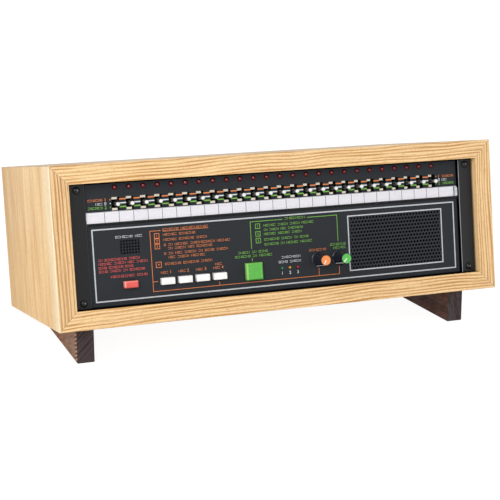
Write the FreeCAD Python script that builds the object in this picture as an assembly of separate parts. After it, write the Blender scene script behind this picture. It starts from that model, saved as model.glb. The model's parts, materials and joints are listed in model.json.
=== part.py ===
"""Desk intercom console: a rack-width lever and button front in a mitred oak cabinet on wedge feet.

All sizes are millimetres. Everything is modelled with the cabinet upright, in the cabinet's own frame:
X runs to the right from the cabinet's middle, Y runs back from the front edges of its boards, and Z
runs up from its underside. Each finished shape is then tipped back with the cabinet and set down, so
that in the written parts Z = 0 is the table and the origin is the middle of the box round the base.
"""
import FreeCAD, Part
import math
import os

Vector = FreeCAD.Vector
ACROSS = Vector(1, 0, 0)
BACK = Vector(0, 1, 0)
FRONT = Vector(0, -1, 0)
UP = Vector(0, 0, 1)
DOWN = Vector(0, 0, -1)

# ---------------------------------------------------------------- rack front
rack_panel_width = 482.6          # a nineteen-inch front
rack_unit_height = 44.45          # one unit of panel height
switch_panel_units = 1            # upper panel, with the lever switches
control_panel_units = 2           # lower panel, with the loudspeaker and buttons
panel_thickness = 2.0
panel_side_play = 1.3             # between the front's ends and the cabinet sides
panel_end_play = 0.65             # above and below the stacked panels
panel_seam = 0.3                  # half of the gap between the two panels
rack_hole_end_inset = 8.2         # from the front's ends to the screw columns
rack_hole_inset = 6.35            # from the top and bottom of the panel stack

# ---------------------------------------------------------------- cabinet
board_thickness = 20.6
board_edge_radius = 0.8
cabinet_depth = 294.0
rabbet_width = 9.5                # step round the rear opening that seats the back panel
rabbet_depth = 18.0
back_panel_thickness = 1.6
back_panel_play = 0.75            # round the back panel's edge in its rabbet

# ---------------------------------------------------------------- wedge feet
foot_width = 19.5
foot_side_inset = 25.4            # from the cabinet's side to the foot
foot_front_setback = 40.5         # of its front lower edge
foot_rear_setback = 27.0
foot_front_height = 41.2
foot_rear_height = 4.9
foot_edge_radius = 1.0

# ---------------------------------------------------------------- trim rails and rack rails
trim_recess = 8.5                 # from the boards' front edges back to the trim rails
trim_thickness = 3.5
trim_width = 16.9
trim_edge_radius = 0.6
rack_rail_thickness = 2.0
rack_rail_face = 20.0
rack_rail_side = 26.0
rack_rail_end_play = 0.5
rail_screw_setback = 15.6         # from the panels' back to the screws in the side boards

# ---------------------------------------------------------------- station row
station_count = 25
station_pitch = 15.875            # five eighths of an inch
lever_height = 21.2               # of the lever row above the switch panel's foot
lamp_drop = 5.45                  # of the lamp row below the switch panel's top
slot_width = 8.4
slot_height = 14.8

# ---------------------------------------------------------------- lever switches
lever_throw = 9.5                 # degrees, up and down from the middle
lever_reach = 10.8                # from the panel's face forward to the middle of the ball
lever_pivot_depth = 14.0          # from the panel's face back to the pivot
lever_ball_radius = 2.15
lever_root_radius = 2.1
lever_neck_radius = 1.25
lever_hub_radius = 3.4
lever_hub_width = 4.6
lever_tail_length = 8.0
lever_tail_thickness = 1.6
lever_pin_radius = 1.0
lever_bore_play = 0.05            # round the pin
lever_side_play = 0.3             # each side of the hub in its housing
switch_width = 12.0
switch_lamp_gap = 1.75            # between each switch and the lamp holder above it
switch_setback = 5.8              # from the panel's back to the switches' fronts
lever_mouth_play = 1.5            # between the thrown lever and the lug it leans towards
switch_front_wall = 2.4
switch_cavity_height = 14.0
switch_cavity_depth = 16.2        # from the switch's front
lug_width = 7.4
lug_height = 2.45
lug_projection = 0.5              # forward from the switch's front

# ---------------------------------------------------------------- lamps
station_lamp_radius = 2.9
level_lamp_radius = 1.5
lamp_projection = 1.9
lamp_play = 0.1                   # round each lamp in the panel
lamp_body_depth = 5.0             # behind the panel's face
lamp_flange_depth = 1.0
lamp_flange_margin = 0.4
lamp_lead_spacing = 2.54
lamp_lead_width = 0.6
lamp_holder_margin = 1.4          # wall of the ring that holds each station lamp
level_lamp_count = 3
level_lamp_pitch = 9.5
level_lamp_share = 0.7462         # of the way from the last white button to the first knob
level_lamp_height = 24.3          # of the level lamps above the control panel's foot

# ---------------------------------------------------------------- label strip
label_height = 13.2
label_bottom = 0.1                # above the switch panel's foot
label_left_gap = 0.2              # between the left trim rail and the holder
label_end_radius = 3.0
label_right_gap = 2.2             # between the holder and the right trim rail
label_thickness = 3.0
label_back_wall = 0.8
label_lip = 1.2                   # closed edge below the card
card_height = 11.5
card_thickness = 0.4
card_play = 0.1
card_left_gap = 0.4
card_right_gap = 4.2              # to the holder's rounded end

# ---------------------------------------------------------------- buttons
button_travel = 3.5
button_width = 15.4
button_height = 7.6
button_projection = 5.5
button_corner_radius = 0.8
button_play = 0.3                 # round each cap in the panel
button_flange = 0.6               # how far the flange laps behind the panel all round
button_flange_thickness = 1.2
button_flange_gap = 0.15          # between the flange and the panel's back at rest
plunger_width = 4.0
plunger_length = 16.0
plunger_play = 0.3
push_switch_wall = 1.1
push_switch_play = 0.3            # between the flange and the switch's well
push_switch_well = 8.0            # depth of the well that the flange travels in
plunger_end_room = 1.0            # left behind the plunger when it is pushed home
button_row_height = 22.4          # of the button row above the control panel's foot
source_button_count = 3
source_button_inset = 102.9       # of the first source button from the front's left end
source_button_pitch = 20.0
emergency_button_inset = 61.4     # from the front's left end
talk_button_share = 0.3186        # of the way from the last white button to the first knob
talk_button_size = 19.4
talk_button_projection = 7.0
talk_button_bevel = 2.0
talk_button_dish_depth = 0.5
talk_button_dish_margin = 3.0     # from the cap's side to the dish
talk_button_height = 23.9         # of its middle above the control panel's foot

# ---------------------------------------------------------------- volume knobs
knob_speaker_gap = 12.7           # from the last knob's middle to the loudspeaker
knob_pitch = 25.4
knob_height = 30.6                # of the knob row above the control panel's foot
knob_skirt_radius = 9.25
knob_skirt_thickness = 1.8
knob_neck_radius = 6.1
knob_waist_radius = 6.7
knob_waist_at = 8.5               # from the skirt's foot
knob_length = 21.2
knob_panel_gap = 0.6
knob_fin_width = 1.4
knob_fin_inset = 0.6              # from the skirt's edge
knob_fin_cap_gap = 0.05           # between the fin's root and the cap's recess
knob_cap_radius = 5.45
knob_cap_seat = 1.2               # depth of the recess that holds the cap
knob_cap_thickness = 1.5
knob_cap_rim = 1.4
knob_cap_dish = 0.3
pointer_width = 1.0
pointer_turns = (28.0, 42.0)      # degrees from straight down towards the left
shaft_radius = 3.0
shaft_grip = 17.0                 # length of shaft inside the knob
shaft_play = 0.05
pot_radius = 8.0
pot_depth = 10.0
pot_end_wall = 1.5
pot_shaft_end_gap = 0.5
bushing_radius = 4.5
bushing_play = 0.1
nut_across_flats = 11.0
nut_thickness = 2.2
nut_clearance = 1.0               # round the nut inside the knob's hollow skirt

# ---------------------------------------------------------------- loudspeaker and grille
grille_inset = 100.6              # of the grille's middle from the front's right end
grille_middle_height = 45.05      # above the control panel's foot
grille_columns = 29               # in the long rows; the short rows have one fewer
grille_rows = 15
grille_column_pitch = 3.98
grille_row_pitch = 4.05
grille_hole_radius = 1.06
speaker_width = 122.0
speaker_height = 68.0
speaker_flange_thickness = 1.5
speaker_cone_margin = 4.0         # from the flange's edge to the cone's mouth
speaker_basket_depth = 22.0
speaker_wall = 1.2
speaker_neck_half_width = 17.0
speaker_neck_half_height = 16.0
magnet_radius = 22.0
magnet_depth = 12.0
mic_inset = 63.5                  # of its middle from the front's left end
mic_middle_height = 62.9
mic_columns = 7
mic_rows = 5
mic_hole_pitch = 3.23
mic_hole_radius = 1.05
mic_capsule_radius = 12.5
mic_capsule_depth = 11.0
mic_capsule_wall = 1.5

# ---------------------------------------------------------------- circuit boards
circuit_board_setback = 28.0      # from the panels' back to the boards
circuit_board_thickness = 1.6
circuit_board_end_gap = 7.6       # between the boards and the rack rails
upper_board_margin = 2.2          # past the lever switches and lamp leads
lower_board_end_gap = 4.0         # above the rail ends and below the seam
speaker_board_gap = 2.0

# ---------------------------------------------------------------- back panel and terminals
vent_slot_width = 3.2
vent_slot_height = 22.0
vent_slot_pitch = 9.0
vent_slot_count = 44
vent_slot_rise = 108.0            # of the slots' middle above the cabinet's underside
terminal_count = 26
terminal_pitch = 9.5
terminal_strip_rise = 55.0        # of the strip's middle above the cabinet's underside
terminal_strip_height = 26.0
terminal_base_thickness = 6.0
terminal_rib_height = 3.5
terminal_rib_width = 1.6
terminal_rib_reach = 18.0         # of each rib, upwards
terminal_screw_radius = 2.6
terminal_screw_height = 1.6
terminal_ear = 9.0                # at each end, for the strip's own screws

# ---------------------------------------------------------------- screws
panel_screw_head_radius = 4.1
panel_screw_head_height = 2.3
panel_screw_radius = 2.4
panel_screw_length = 16.0
panel_screw_play = 0.4
cross_slot_width = 0.9
cross_slot_length = 4.6
cross_slot_depth = 1.3
cross_slot_reach = 0.7            # most of a small head's radius that the slot takes up
pan_shoulder_rise = 0.75          # share of a pan head's height that its shoulder stands at
pan_shoulder_reach = 0.8          # share of a pan head's radius that its shoulder reaches
wood_screw_radius = 1.9
wood_screw_head_radius = 3.8
wood_screw_head_height = 2.4
wood_screw_tip = 4.0
foot_screw_grip = 9.0             # length held in the foot
foot_screw_end_inset = 45.0
rail_screw_length = 14.0
rail_screw_end_inset = 22.0
back_screw_length = 13.0
back_screw_head_radius = 3.6
back_screw_head_height = 2.0
back_screw_spacing = 190.0
strip_screw_radius = 1.5
strip_screw_length = 9.0
strip_screw_head_radius = 2.8
strip_screw_head_height = 1.8

cut_overrun = 1.0                 # how far a cutter runs past the face it opens

# ---------------------------------------------------------------- worked-out places
opening_width = rack_panel_width + 2 * panel_side_play
rack_hole_span = rack_panel_width - 2 * rack_hole_end_inset
panel_stack_height = (switch_panel_units + control_panel_units) * rack_unit_height
opening_height = panel_stack_height + 2 * panel_end_play
cabinet_width = opening_width + 2 * board_thickness
cabinet_height = opening_height + 2 * board_thickness
panel_front = trim_recess + trim_thickness
panel_back = panel_front + panel_thickness
stack_bottom = board_thickness + panel_end_play
stack_top = stack_bottom + panel_stack_height
seam_z = stack_bottom + control_panel_units * rack_unit_height
trim_inner_x = rack_panel_width / 2 - trim_width
label_length = 2 * trim_inner_x - label_left_gap - label_right_gap
card_length = label_length - card_left_gap - card_right_gap
boards_front = panel_back + circuit_board_setback
switch_front = panel_back + switch_setback
lug_front = switch_front - lug_projection
circuit_board_half_length = opening_width / 2 - rack_rail_face - circuit_board_end_gap
lever_pivot_y = panel_front + lever_pivot_depth
lever_z = seam_z + lever_height
lamp_z = stack_top - lamp_drop
lamp_holder_radius = station_lamp_radius + lamp_play + lamp_holder_margin
switch_height = 2 * (lamp_z - lamp_holder_radius - switch_lamp_gap - lever_z)
lug_reach = lever_pivot_y - lug_front
lever_swing = lug_reach * math.sin(math.radians(lever_throw))
switch_mouth_height = 2 * (lever_swing + lever_root_radius + lever_mouth_play)
button_z = stack_bottom + button_row_height
talk_button_z = stack_bottom + talk_button_height
level_lamp_z = stack_bottom + level_lamp_height
knob_z = stack_bottom + knob_height
grille_z = stack_bottom + grille_middle_height
grille_middle_x = rack_panel_width / 2 - grille_inset
mic_z = stack_bottom + mic_middle_height
mic_middle_x = mic_inset - rack_panel_width / 2
rabbet_y = cabinet_depth - rabbet_depth
back_panel_outer_y = rabbet_y + back_panel_thickness
foot_rear_y = cabinet_depth - foot_rear_setback
foot_middle_x = cabinet_width / 2 - foot_side_inset - foot_width / 2
tilt = math.atan((foot_front_height - foot_rear_height) / (foot_rear_y - foot_front_setback))
foot_top_y = foot_front_setback - foot_front_height * math.tan(tilt)
speaker_edge_x = grille_middle_x - speaker_width / 2
knob_first_x = speaker_edge_x - knob_speaker_gap - knob_pitch
emergency_button_x = emergency_button_inset - rack_panel_width / 2
source_button_first_x = source_button_inset - rack_panel_width / 2
all_rooms_button_x = source_button_first_x + source_button_count * source_button_pitch
talk_space_start = all_rooms_button_x + button_width / 2
talk_space = knob_first_x - knob_skirt_radius - talk_space_start
talk_button_x = talk_space_start + talk_button_share * talk_space
level_lamp_x = talk_space_start + level_lamp_share * talk_space
terminal_length = terminal_count * terminal_pitch


# ---------------------------------------------------------------- drawing helpers
def block(x_range, y_range, z_range):
    """A box between two places along each axis."""
    corner = Vector(x_range[0], y_range[0], z_range[0])
    return Part.makeBox(
        x_range[1] - x_range[0], y_range[1] - y_range[0], z_range[1] - z_range[0], corner
    )


def centred(middle, width):
    """The two ends of a stretch of this width round its middle."""
    return (middle - width / 2, middle + width / 2)


def rod(base, direction, length, radius):
    """A round bar from a point along a direction."""
    return Part.makeCylinder(radius, length, base, direction)


def prism(points, direction):
    """A solid drawn out from a closed outline of straight lines."""
    return Part.Face(Part.makePolygon(points + [points[0]])).extrude(direction)


def turned(profile, base, direction):
    """A lathe-turned solid; the profile is (distance along the axis, radius) pairs, and a pair of such
    pairs is an arc through the first to the second."""
    edges = []
    start = profile[0]
    for step in list(profile[1:]) + [profile[0]]:
        if isinstance(step[0], tuple):
            through, end = step
            edges.append(Part.Arc(lathe_point(start), lathe_point(through), lathe_point(end)).toShape())
        else:
            end = step
            edges.append(Part.makeLine(lathe_point(start), lathe_point(end)))
        start = end
    solid = Part.Face(Part.Wire(edges)).revolve(Vector(0, 0, 0), UP, 360)
    solid.Placement = FreeCAD.Placement(base, FreeCAD.Rotation(UP, direction))
    return solid


def lathe_point(pair):
    return Vector(pair[1], 0, pair[0])


def rectangle(x_range, z_range, y=0):
    """A rectangular outline, drawn anticlockwise as seen from the front."""
    low_x, high_x = x_range
    low_z, high_z = z_range
    corners = [(low_x, low_z), (high_x, low_z), (high_x, high_z), (low_x, high_z), (low_x, low_z)]
    return Part.makePolygon([Vector(x, y, z) for x, z in corners])


def round_hole(x, z, radius):
    """The outline of a round hole in a plate, drawn clockwise."""
    return Part.Wire(Part.makeCircle(radius, Vector(x, 0, z), BACK))


def square_hole(x_range, z_range):
    """The outline of a rectangular hole in a plate, drawn clockwise."""
    low_x, high_x = x_range
    low_z, high_z = z_range
    corners = [(low_x, low_z), (low_x, high_z), (high_x, high_z), (high_x, low_z), (low_x, low_z)]
    return Part.makePolygon([Vector(x, 0, z) for x, z in corners])


def plate(x_range, z_range, front, thickness, holes):
    """A flat panel across the cabinet, pierced by the given outlines."""
    face = Part.Face(rectangle(x_range, z_range))
    face.cutHoles(holes)
    sheet = face.extrude(Vector(0, thickness, 0))
    sheet.translate(Vector(0, front, 0))
    return sheet


def drilled(solid, cutters):
    """The solid with every cutter taken out of it."""
    return solid.cut(Part.makeCompound(cutters)) if cutters else solid


def copies(solid, places):
    """Copies of a solid made at x = 0, z = 0, one at each (x, z) place."""
    return [solid.translated(Vector(x, 0, z)) for x, z in places]


def mirrored_pair(solid):
    """The solid and its twin on the other side of the cabinet's middle."""
    return [solid, solid.mirror(Vector(0, 0, 0), ACROSS)]


def row(count, pitch, middle=0.0):
    """Evenly spaced places round a middle."""
    return [middle + (number - (count - 1) / 2) * pitch for number in range(count)]


def station_places(z):
    """The stations' middles at one height."""
    return [(x, z) for x in row(station_count, station_pitch)]


# ---------------------------------------------------------------- screws and their holes
def wood_screw(base, direction, length):
    """A countersunk wood screw with its head's face at the base."""
    profile = [
        (0, 0),
        (0, wood_screw_head_radius),
        (wood_screw_head_height, wood_screw_radius),
        (length - wood_screw_tip, wood_screw_radius),
        (length, 0),
    ]
    return turned(profile, base, direction)


def pan_screw(seat_y, direction, length, radius, head_radius, head_height):
    """A pan-head screw at x = 0, z = 0 whose cross-slotted head seats at a depth."""
    base = Vector(0, seat_y, 0)
    profile = [
        (-head_height, 0),
        ((-pan_shoulder_rise * head_height, pan_shoulder_reach * head_radius), (0, head_radius)),
        (0, radius),
        (length, radius),
        (length, 0),
    ]
    screw = turned(profile, base, direction)
    top_y = seat_y - direction.y * head_height
    depth_range = sorted((top_y - direction.y * cut_overrun, top_y + direction.y * cross_slot_depth))
    long_range = centred(0, min(cross_slot_length, 2 * cross_slot_reach * head_radius))
    short_range = centred(0, cross_slot_width)
    cross = block(long_range, depth_range, short_range).fuse(block(short_range, depth_range, long_range))
    return screw.cut(cross)


def panel_screw_places():
    """Middle of each front screw, on the panel's plane."""
    columns = (-rack_hole_span / 2, rack_hole_span / 2)
    rows = (stack_bottom + rack_hole_inset, stack_top - rack_hole_inset)
    return [(x, z) for x in columns for z in rows]


def foot_screws():
    """Screws down through the bottom board into both feet."""
    length = board_thickness + foot_screw_grip
    ends = (foot_front_setback + foot_screw_end_inset, foot_rear_y - foot_screw_end_inset)
    screws = []
    for y in ends:
        screws += mirrored_pair(wood_screw(Vector(foot_middle_x, y, board_thickness), DOWN, length))
    return screws


def rail_screws():
    """Screws out through the rack rails into both side boards."""
    start_x = opening_width / 2 - rack_rail_thickness
    y = panel_back + rail_screw_setback
    screws = []
    for z in (stack_bottom + rail_screw_end_inset, stack_top - rail_screw_end_inset):
        screws += mirrored_pair(wood_screw(Vector(start_x, y, z), ACROSS, rail_screw_length))
    return screws


def back_screw_places():
    """Middle of each back screw, on the step round the rear opening."""
    side_x = opening_width / 2 + rabbet_width / 2
    low_z = board_thickness - rabbet_width / 2
    high_z = cabinet_height - low_z
    places = [(x, z) for x in centred(0, 2 * back_screw_spacing) for z in (low_z, high_z)]
    return places + [(-side_x, cabinet_height / 2), (side_x, cabinet_height / 2)]


def back_screws():
    screw = pan_screw(
        back_panel_outer_y, FRONT, back_screw_length,
        wood_screw_radius, back_screw_head_radius, back_screw_head_height,
    )
    return copies(screw, back_screw_places())


def back_screw_holes():
    hole = rod(Vector(0, back_panel_outer_y, 0), FRONT, back_screw_length, wood_screw_radius)
    return copies(hole, back_screw_places())


# ---------------------------------------------------------------- cabinet
def cabinet_frame():
    """The four boards as one ring, rounded on its outer edges and rabbeted behind."""
    outer = block(centred(0, cabinet_width), (0, cabinet_depth), (0, cabinet_height))
    outer = outer.makeFillet(board_edge_radius, outer.Edges)
    middle_z = cabinet_height / 2
    opening = block(
        centred(0, opening_width), (-cut_overrun, cabinet_depth + cut_overrun),
        centred(middle_z, opening_height),
    )
    rabbet = block(
        centred(0, opening_width + 2 * rabbet_width),
        (rabbet_y, cabinet_depth + cut_overrun),
        centred(middle_z, opening_height + 2 * rabbet_width),
    )
    return drilled(outer, [opening, rabbet])


def cabinet_boards():
    """Top, bottom, left and right board, cut from the ring along its mitres."""
    ring = drilled(cabinet_frame(), foot_screws() + rail_screws())
    ring = drilled(ring, back_screw_holes())
    half_width = cabinet_width / 2
    inner_x = half_width - board_thickness
    inner_z = cabinet_height - board_thickness
    outer = {"left": -half_width, "right": half_width, "bottom": 0, "top": cabinet_height}
    inner = {"left": -inner_x, "right": inner_x, "bottom": board_thickness, "top": inner_z}
    boards = {}
    for side in ("top", "bottom"):
        outline = [("left", outer), ("right", outer), ("right", inner), ("left", inner)]
        boards[side] = [Vector(sides[end], 0, sides[side]) for end, sides in outline]
    for side in ("left", "right"):
        outline = [("bottom", outer), ("top", outer), ("top", inner), ("bottom", inner)]
        boards[side] = [Vector(sides[side], 0, sides[end]) for end, sides in outline]
    reach = Vector(0, cabinet_depth, 0)
    return {
        "cabinet_%s_board" % side: [ring.common(prism(points, reach))]
        for side, points in boards.items()
    }


def wedge_foot():
    """The right foot, its underside flat on the table and its front end sawn square to that."""
    left_x = foot_middle_x - foot_width / 2
    outline = [
        Vector(left_x, foot_top_y, 0),
        Vector(left_x, foot_front_setback, -foot_front_height),
        Vector(left_x, foot_rear_y, -foot_rear_height),
        Vector(left_x, foot_rear_y, 0),
    ]
    foot = prism(outline, Vector(foot_width, 0, 0))
    lower_edges = [edge for edge in foot.Edges if edge.CenterOfMass.z < -foot_edge_radius]
    return drilled(foot.makeFillet(foot_edge_radius, lower_edges), foot_screws())


def strip_screw_places():
    """Middle of each screw that holds the terminal strip."""
    x = (terminal_length + terminal_ear) / 2
    return [(-x, terminal_strip_rise), (x, terminal_strip_rise)]


def back_panel():
    """Steel panel in the rear rabbet, slotted for air."""
    spread = 2 * (rabbet_width - back_panel_play)
    slots_z = centred(vent_slot_rise, vent_slot_height)
    holes = [
        square_hole(centred(x, vent_slot_width), slots_z) for x in row(vent_slot_count, vent_slot_pitch)
    ]
    holes += [round_hole(x, z, wood_screw_radius) for x, z in back_screw_places()]
    holes += [round_hole(x, z, strip_screw_radius) for x, z in strip_screw_places()]
    return plate(
        centred(0, opening_width + spread), centred(cabinet_height / 2, opening_height + spread),
        rabbet_y, back_panel_thickness, holes,
    )


def terminal_strip():
    """Barrier strip on the outside of the back panel, with a screw in each bay and at each end."""
    base_back = back_panel_outer_y + terminal_base_thickness
    base = block(
        centred(0, terminal_length + 2 * terminal_ear), (back_panel_outer_y, base_back),
        centred(terminal_strip_rise, terminal_strip_height),
    )
    ribs = [
        block(
            centred(x, terminal_rib_width), (base_back, base_back + terminal_rib_height),
            centred(terminal_strip_rise, terminal_rib_reach),
        )
        for x in row(terminal_count + 1, terminal_pitch)
    ]
    end_hole = rod(Vector(0, back_panel_outer_y, 0), BACK, terminal_base_thickness, strip_screw_radius)
    strip = drilled(base.fuse(ribs).removeSplitter(), copies(end_hole, strip_screw_places()))
    terminal = rod(Vector(0, base_back, 0), BACK, terminal_screw_height, terminal_screw_radius)
    terminal_places = [(x, terminal_strip_rise) for x in row(terminal_count, terminal_pitch)]
    end_screw = pan_screw(
        base_back, FRONT, strip_screw_length,
        strip_screw_radius, strip_screw_head_radius, strip_screw_head_height,
    )
    return [strip] + copies(terminal, terminal_places) + copies(end_screw, strip_screw_places())


# ---------------------------------------------------------------- rails
def rack_rail():
    """Right steel angle: one leg behind the panels' ends, the other on the side board."""
    side_x = opening_width / 2
    height = (board_thickness + rack_rail_end_play, cabinet_height - board_thickness - rack_rail_end_play)
    face = block((side_x - rack_rail_face, side_x), (panel_back, panel_back + rack_rail_thickness), height)
    side = block((side_x - rack_rail_thickness, side_x), (panel_back, panel_back + rack_rail_side), height)
    taps = [
        rod(Vector(x, panel_back, z), BACK, rack_rail_thickness, panel_screw_radius)
        for x, z in panel_screw_places()
    ]
    return drilled(face.fuse(side).removeSplitter(), taps + rail_screws())


def trim_rail():
    """Right trim rail, laid over the ends of both panels."""
    rail = block(
        (trim_inner_x, rack_panel_width / 2), (trim_recess, panel_front), (stack_bottom, stack_top)
    )
    front_edges = [edge for edge in rail.Edges if edge.BoundBox.YMax < trim_recess + trim_edge_radius]
    rail = rail.makeFillet(trim_edge_radius, front_edges)
    holes = [
        rod(Vector(x, trim_recess, z), BACK, trim_thickness, panel_screw_radius + panel_screw_play)
        for x, z in panel_screw_places()
    ]
    return drilled(rail, holes)


def panel_screws():
    screw = pan_screw(
        trim_recess, BACK, panel_screw_length,
        panel_screw_radius, panel_screw_head_radius, panel_screw_head_height,
    )
    return copies(screw, panel_screw_places())


def panel_screw_holes(low_z, high_z):
    """Outlines of the screw holes that fall between two heights."""
    radius = panel_screw_radius + panel_screw_play
    return [round_hole(x, z, radius) for x, z in panel_screw_places() if low_z < z < high_z]


# ---------------------------------------------------------------- upper panel
def switch_bank_panel():
    """Upper panel with a slot and a lamp hole for each station."""
    z_range = (seam_z + panel_seam, stack_top)
    holes = panel_screw_holes(*z_range)
    for x in row(station_count, station_pitch):
        holes.append(square_hole(centred(x, slot_width), centred(lever_z, slot_height)))
        holes.append(round_hole(x, lamp_z, station_lamp_radius + lamp_play))
    return plate(centred(0, rack_panel_width), z_range, panel_front, panel_thickness, holes)


def lever_switch_body():
    """Switch housing behind its slot: a lug above and below its mouth, a well for the lever, a pin."""
    housing = block(centred(0, switch_width), (switch_front, boards_front), centred(0, switch_height))
    inner_width = lever_hub_width + 2 * lever_side_play
    well_front = switch_front + switch_front_wall
    mouth = block(centred(0, inner_width), (switch_front, well_front), centred(0, switch_mouth_height))
    well = block(
        centred(0, inner_width), (well_front, switch_front + switch_cavity_depth),
        centred(0, switch_cavity_height),
    )
    upper_lug = block(
        centred(0, lug_width), (lug_front, switch_front),
        (switch_mouth_height / 2, switch_mouth_height / 2 + lug_height),
    )
    lower_lug = upper_lug.mirror(Vector(0, 0, 0), UP)
    pin = rod(Vector(-inner_width / 2, lever_pivot_y, 0), ACROSS, inner_width, lever_pin_radius)
    return housing.cut(mouth.fuse(well)).fuse([upper_lug, lower_lug, pin]).removeSplitter()


def station_lever():
    """Bat-handled lever: a hub on its pin, a tapered stem with a ball, and a tail for the contacts."""
    pivot = Vector(0, lever_pivot_y, 0)
    ball_at = lever_pivot_depth + lever_reach
    neck_at = ball_at - lever_ball_radius
    profile = [
        (0, 0),
        (0, lever_root_radius),
        (lever_pivot_depth, lever_root_radius),
        (neck_at, lever_neck_radius),
        (ball_at, lever_neck_radius),
        (ball_at, 0),
    ]
    stem = turned(profile, pivot, FRONT)
    ball = Part.makeSphere(lever_ball_radius, pivot + FRONT * ball_at)
    hub_start = pivot - ACROSS * (lever_hub_width / 2)
    hub = rod(hub_start, ACROSS, lever_hub_width, lever_hub_radius)
    tail = block(
        centred(0, lever_hub_width), (lever_pivot_y, lever_pivot_y + lever_tail_length),
        centred(0, lever_tail_thickness),
    )
    bore = rod(hub_start, ACROSS, lever_hub_width, lever_pin_radius + lever_bore_play)
    return hub.fuse([stem, ball, tail]).cut(bore).removeSplitter()


def lamp(radius):
    """Domed lamp seen through its hole, with a flange and two leads running back to the board."""
    tip_y = panel_front - lamp_projection
    flange_end = lamp_projection + lamp_body_depth
    flange_start = flange_end - lamp_flange_depth
    slope = radius * math.sqrt(0.5)
    profile = [
        (0, 0),
        ((radius - slope, slope), (radius, radius)),
        (flange_start, radius),
        (flange_start, radius + lamp_flange_margin),
        (flange_end, radius + lamp_flange_margin),
        (flange_end, 0),
    ]
    dome = turned(profile, Vector(0, tip_y, 0), BACK)
    lead_range = (tip_y + flange_end, boards_front)
    leads = [
        block(centred(x, lamp_lead_width), lead_range, centred(0, lamp_lead_width))
        for x in centred(0, lamp_lead_spacing)
    ]
    return dome.fuse(leads).removeSplitter()


def lamp_holder():
    """Ring on the back of the panel that holds a station lamp by its flange."""
    inner = station_lamp_radius + lamp_play
    outer = lamp_holder_radius
    depth = lamp_body_depth - lamp_flange_depth - panel_thickness
    profile = [(0, inner), (0, outer), (depth, outer), (depth, inner)]
    return turned(profile, Vector(0, panel_back, 0), BACK)


def label_holder():
    """Clear channel along the foot of the upper panel, rounded at its right end."""
    left_x = -trim_inner_x + label_left_gap
    low_z = seam_z + panel_seam + label_bottom
    x_range = (left_x, left_x + label_length)
    z_range = (low_z, low_z + label_height)
    holder = block(x_range, (panel_front - label_thickness, panel_front), z_range)
    end_edges = [
        edge for edge in holder.Edges
        if edge.CenterOfMass.x > x_range[1] - label_end_radius and edge.BoundBox.YLength > card_thickness
    ]
    holder = holder.makeFillet(label_end_radius, end_edges)
    card_back = panel_front - label_back_wall
    slot = block(
        (left_x + card_left_gap - card_play, left_x + card_left_gap + card_length + card_play),
        (card_back - card_thickness - card_play, card_back),
        (low_z + label_lip, low_z + label_lip + card_height + card_play),
    )
    return drilled(holder, [slot])


def label_card():
    """Paper card in the channel, standing on its lip."""
    left_x = -trim_inner_x + label_left_gap + card_left_gap
    low_z = seam_z + panel_seam + label_bottom + label_lip
    card_back = panel_front - label_back_wall
    return block(
        (left_x, left_x + card_length), (card_back - card_thickness, card_back), (low_z, low_z + card_height)
    )


# ---------------------------------------------------------------- buttons
class Button:
    """One push button: its place, its cap's size and how far it stands out of the panel."""

    def __init__(self, x, z, width, height, projection):
        self.x = x
        self.z = z
        self.width = width
        self.height = height
        self.projection = projection

    def ranges(self, margin):
        """Width and height ranges, grown all round by a margin."""
        return (
            centred(self.x, self.width + 2 * margin),
            centred(self.z, self.height + 2 * margin),
        )

    def panel_hole(self):
        return square_hole(*self.ranges(button_play))

    def flange_range(self):
        front = panel_back + button_flange_gap
        return (front, front + button_flange_thickness)

    def plunger_end(self):
        return self.flange_range()[1] + plunger_length

    def cap(self):
        """Moulded cap with rounded corners and front edges."""
        x_range, z_range = self.ranges(0)
        body = block(x_range, (panel_front - self.projection, self.flange_range()[0]), z_range)
        outer_edges = [edge for edge in body.Edges if edge.BoundBox.YMin < panel_front]
        return body.makeFillet(button_corner_radius, outer_edges)

    def solid(self):
        """Cap, flange behind the panel and plunger."""
        x_range, z_range = self.ranges(button_flange)
        flange = block(x_range, self.flange_range(), z_range)
        plunger = block(
            centred(self.x, plunger_width), (self.flange_range()[1], self.plunger_end()),
            centred(self.z, plunger_width),
        )
        return self.cap().fuse([flange, plunger]).removeSplitter()

    def switch_body(self):
        """Switch housing between the panel and the circuit board, hollow for the flange and plunger."""
        margin = button_flange + push_switch_play
        x_range, z_range = self.ranges(margin + push_switch_wall)
        housing = block(x_range, (panel_back, boards_front), z_range)
        well_x, well_z = self.ranges(margin)
        well = block(well_x, (panel_back, panel_back + push_switch_well), well_z)
        channel_width = plunger_width + 2 * plunger_play
        channel = block(
            centred(self.x, channel_width),
            (panel_back, self.plunger_end() + button_travel + plunger_end_room),
            centred(self.z, channel_width),
        )
        return drilled(housing, [well, channel])


class TalkButton(Button):
    """Large square button with a bevelled edge and a shallow dish."""

    def cap(self):
        x_range, z_range = self.ranges(0)
        front = panel_front - self.projection
        bevel_y = front + talk_button_bevel
        body = block(x_range, (bevel_y, self.flange_range()[0]), z_range)
        face_x, face_z = self.ranges(-talk_button_bevel)
        crown = Part.makeLoft(
            [rectangle(x_range, z_range, bevel_y), rectangle(face_x, face_z, front)], True, True
        )
        dish_x, dish_z = self.ranges(-talk_button_dish_margin)
        dish = block(dish_x, (front - cut_overrun, front + talk_button_dish_depth), dish_z)
        return drilled(body.fuse(crown).removeSplitter(), [dish])


def buttons():
    """Every button by its part's name."""
    size = (button_width, button_height, button_projection)
    found = {"emergency_button": Button(emergency_button_x, button_z, *size)}
    for number in range(source_button_count):
        x = source_button_first_x + number * source_button_pitch
        found["source_button_%d" % (number + 1)] = Button(x, button_z, *size)
    found["all_rooms_button"] = Button(all_rooms_button_x, button_z, *size)
    found["talk_button"] = TalkButton(
        talk_button_x, talk_button_z, talk_button_size, talk_button_size, talk_button_projection
    )
    return found


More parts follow.
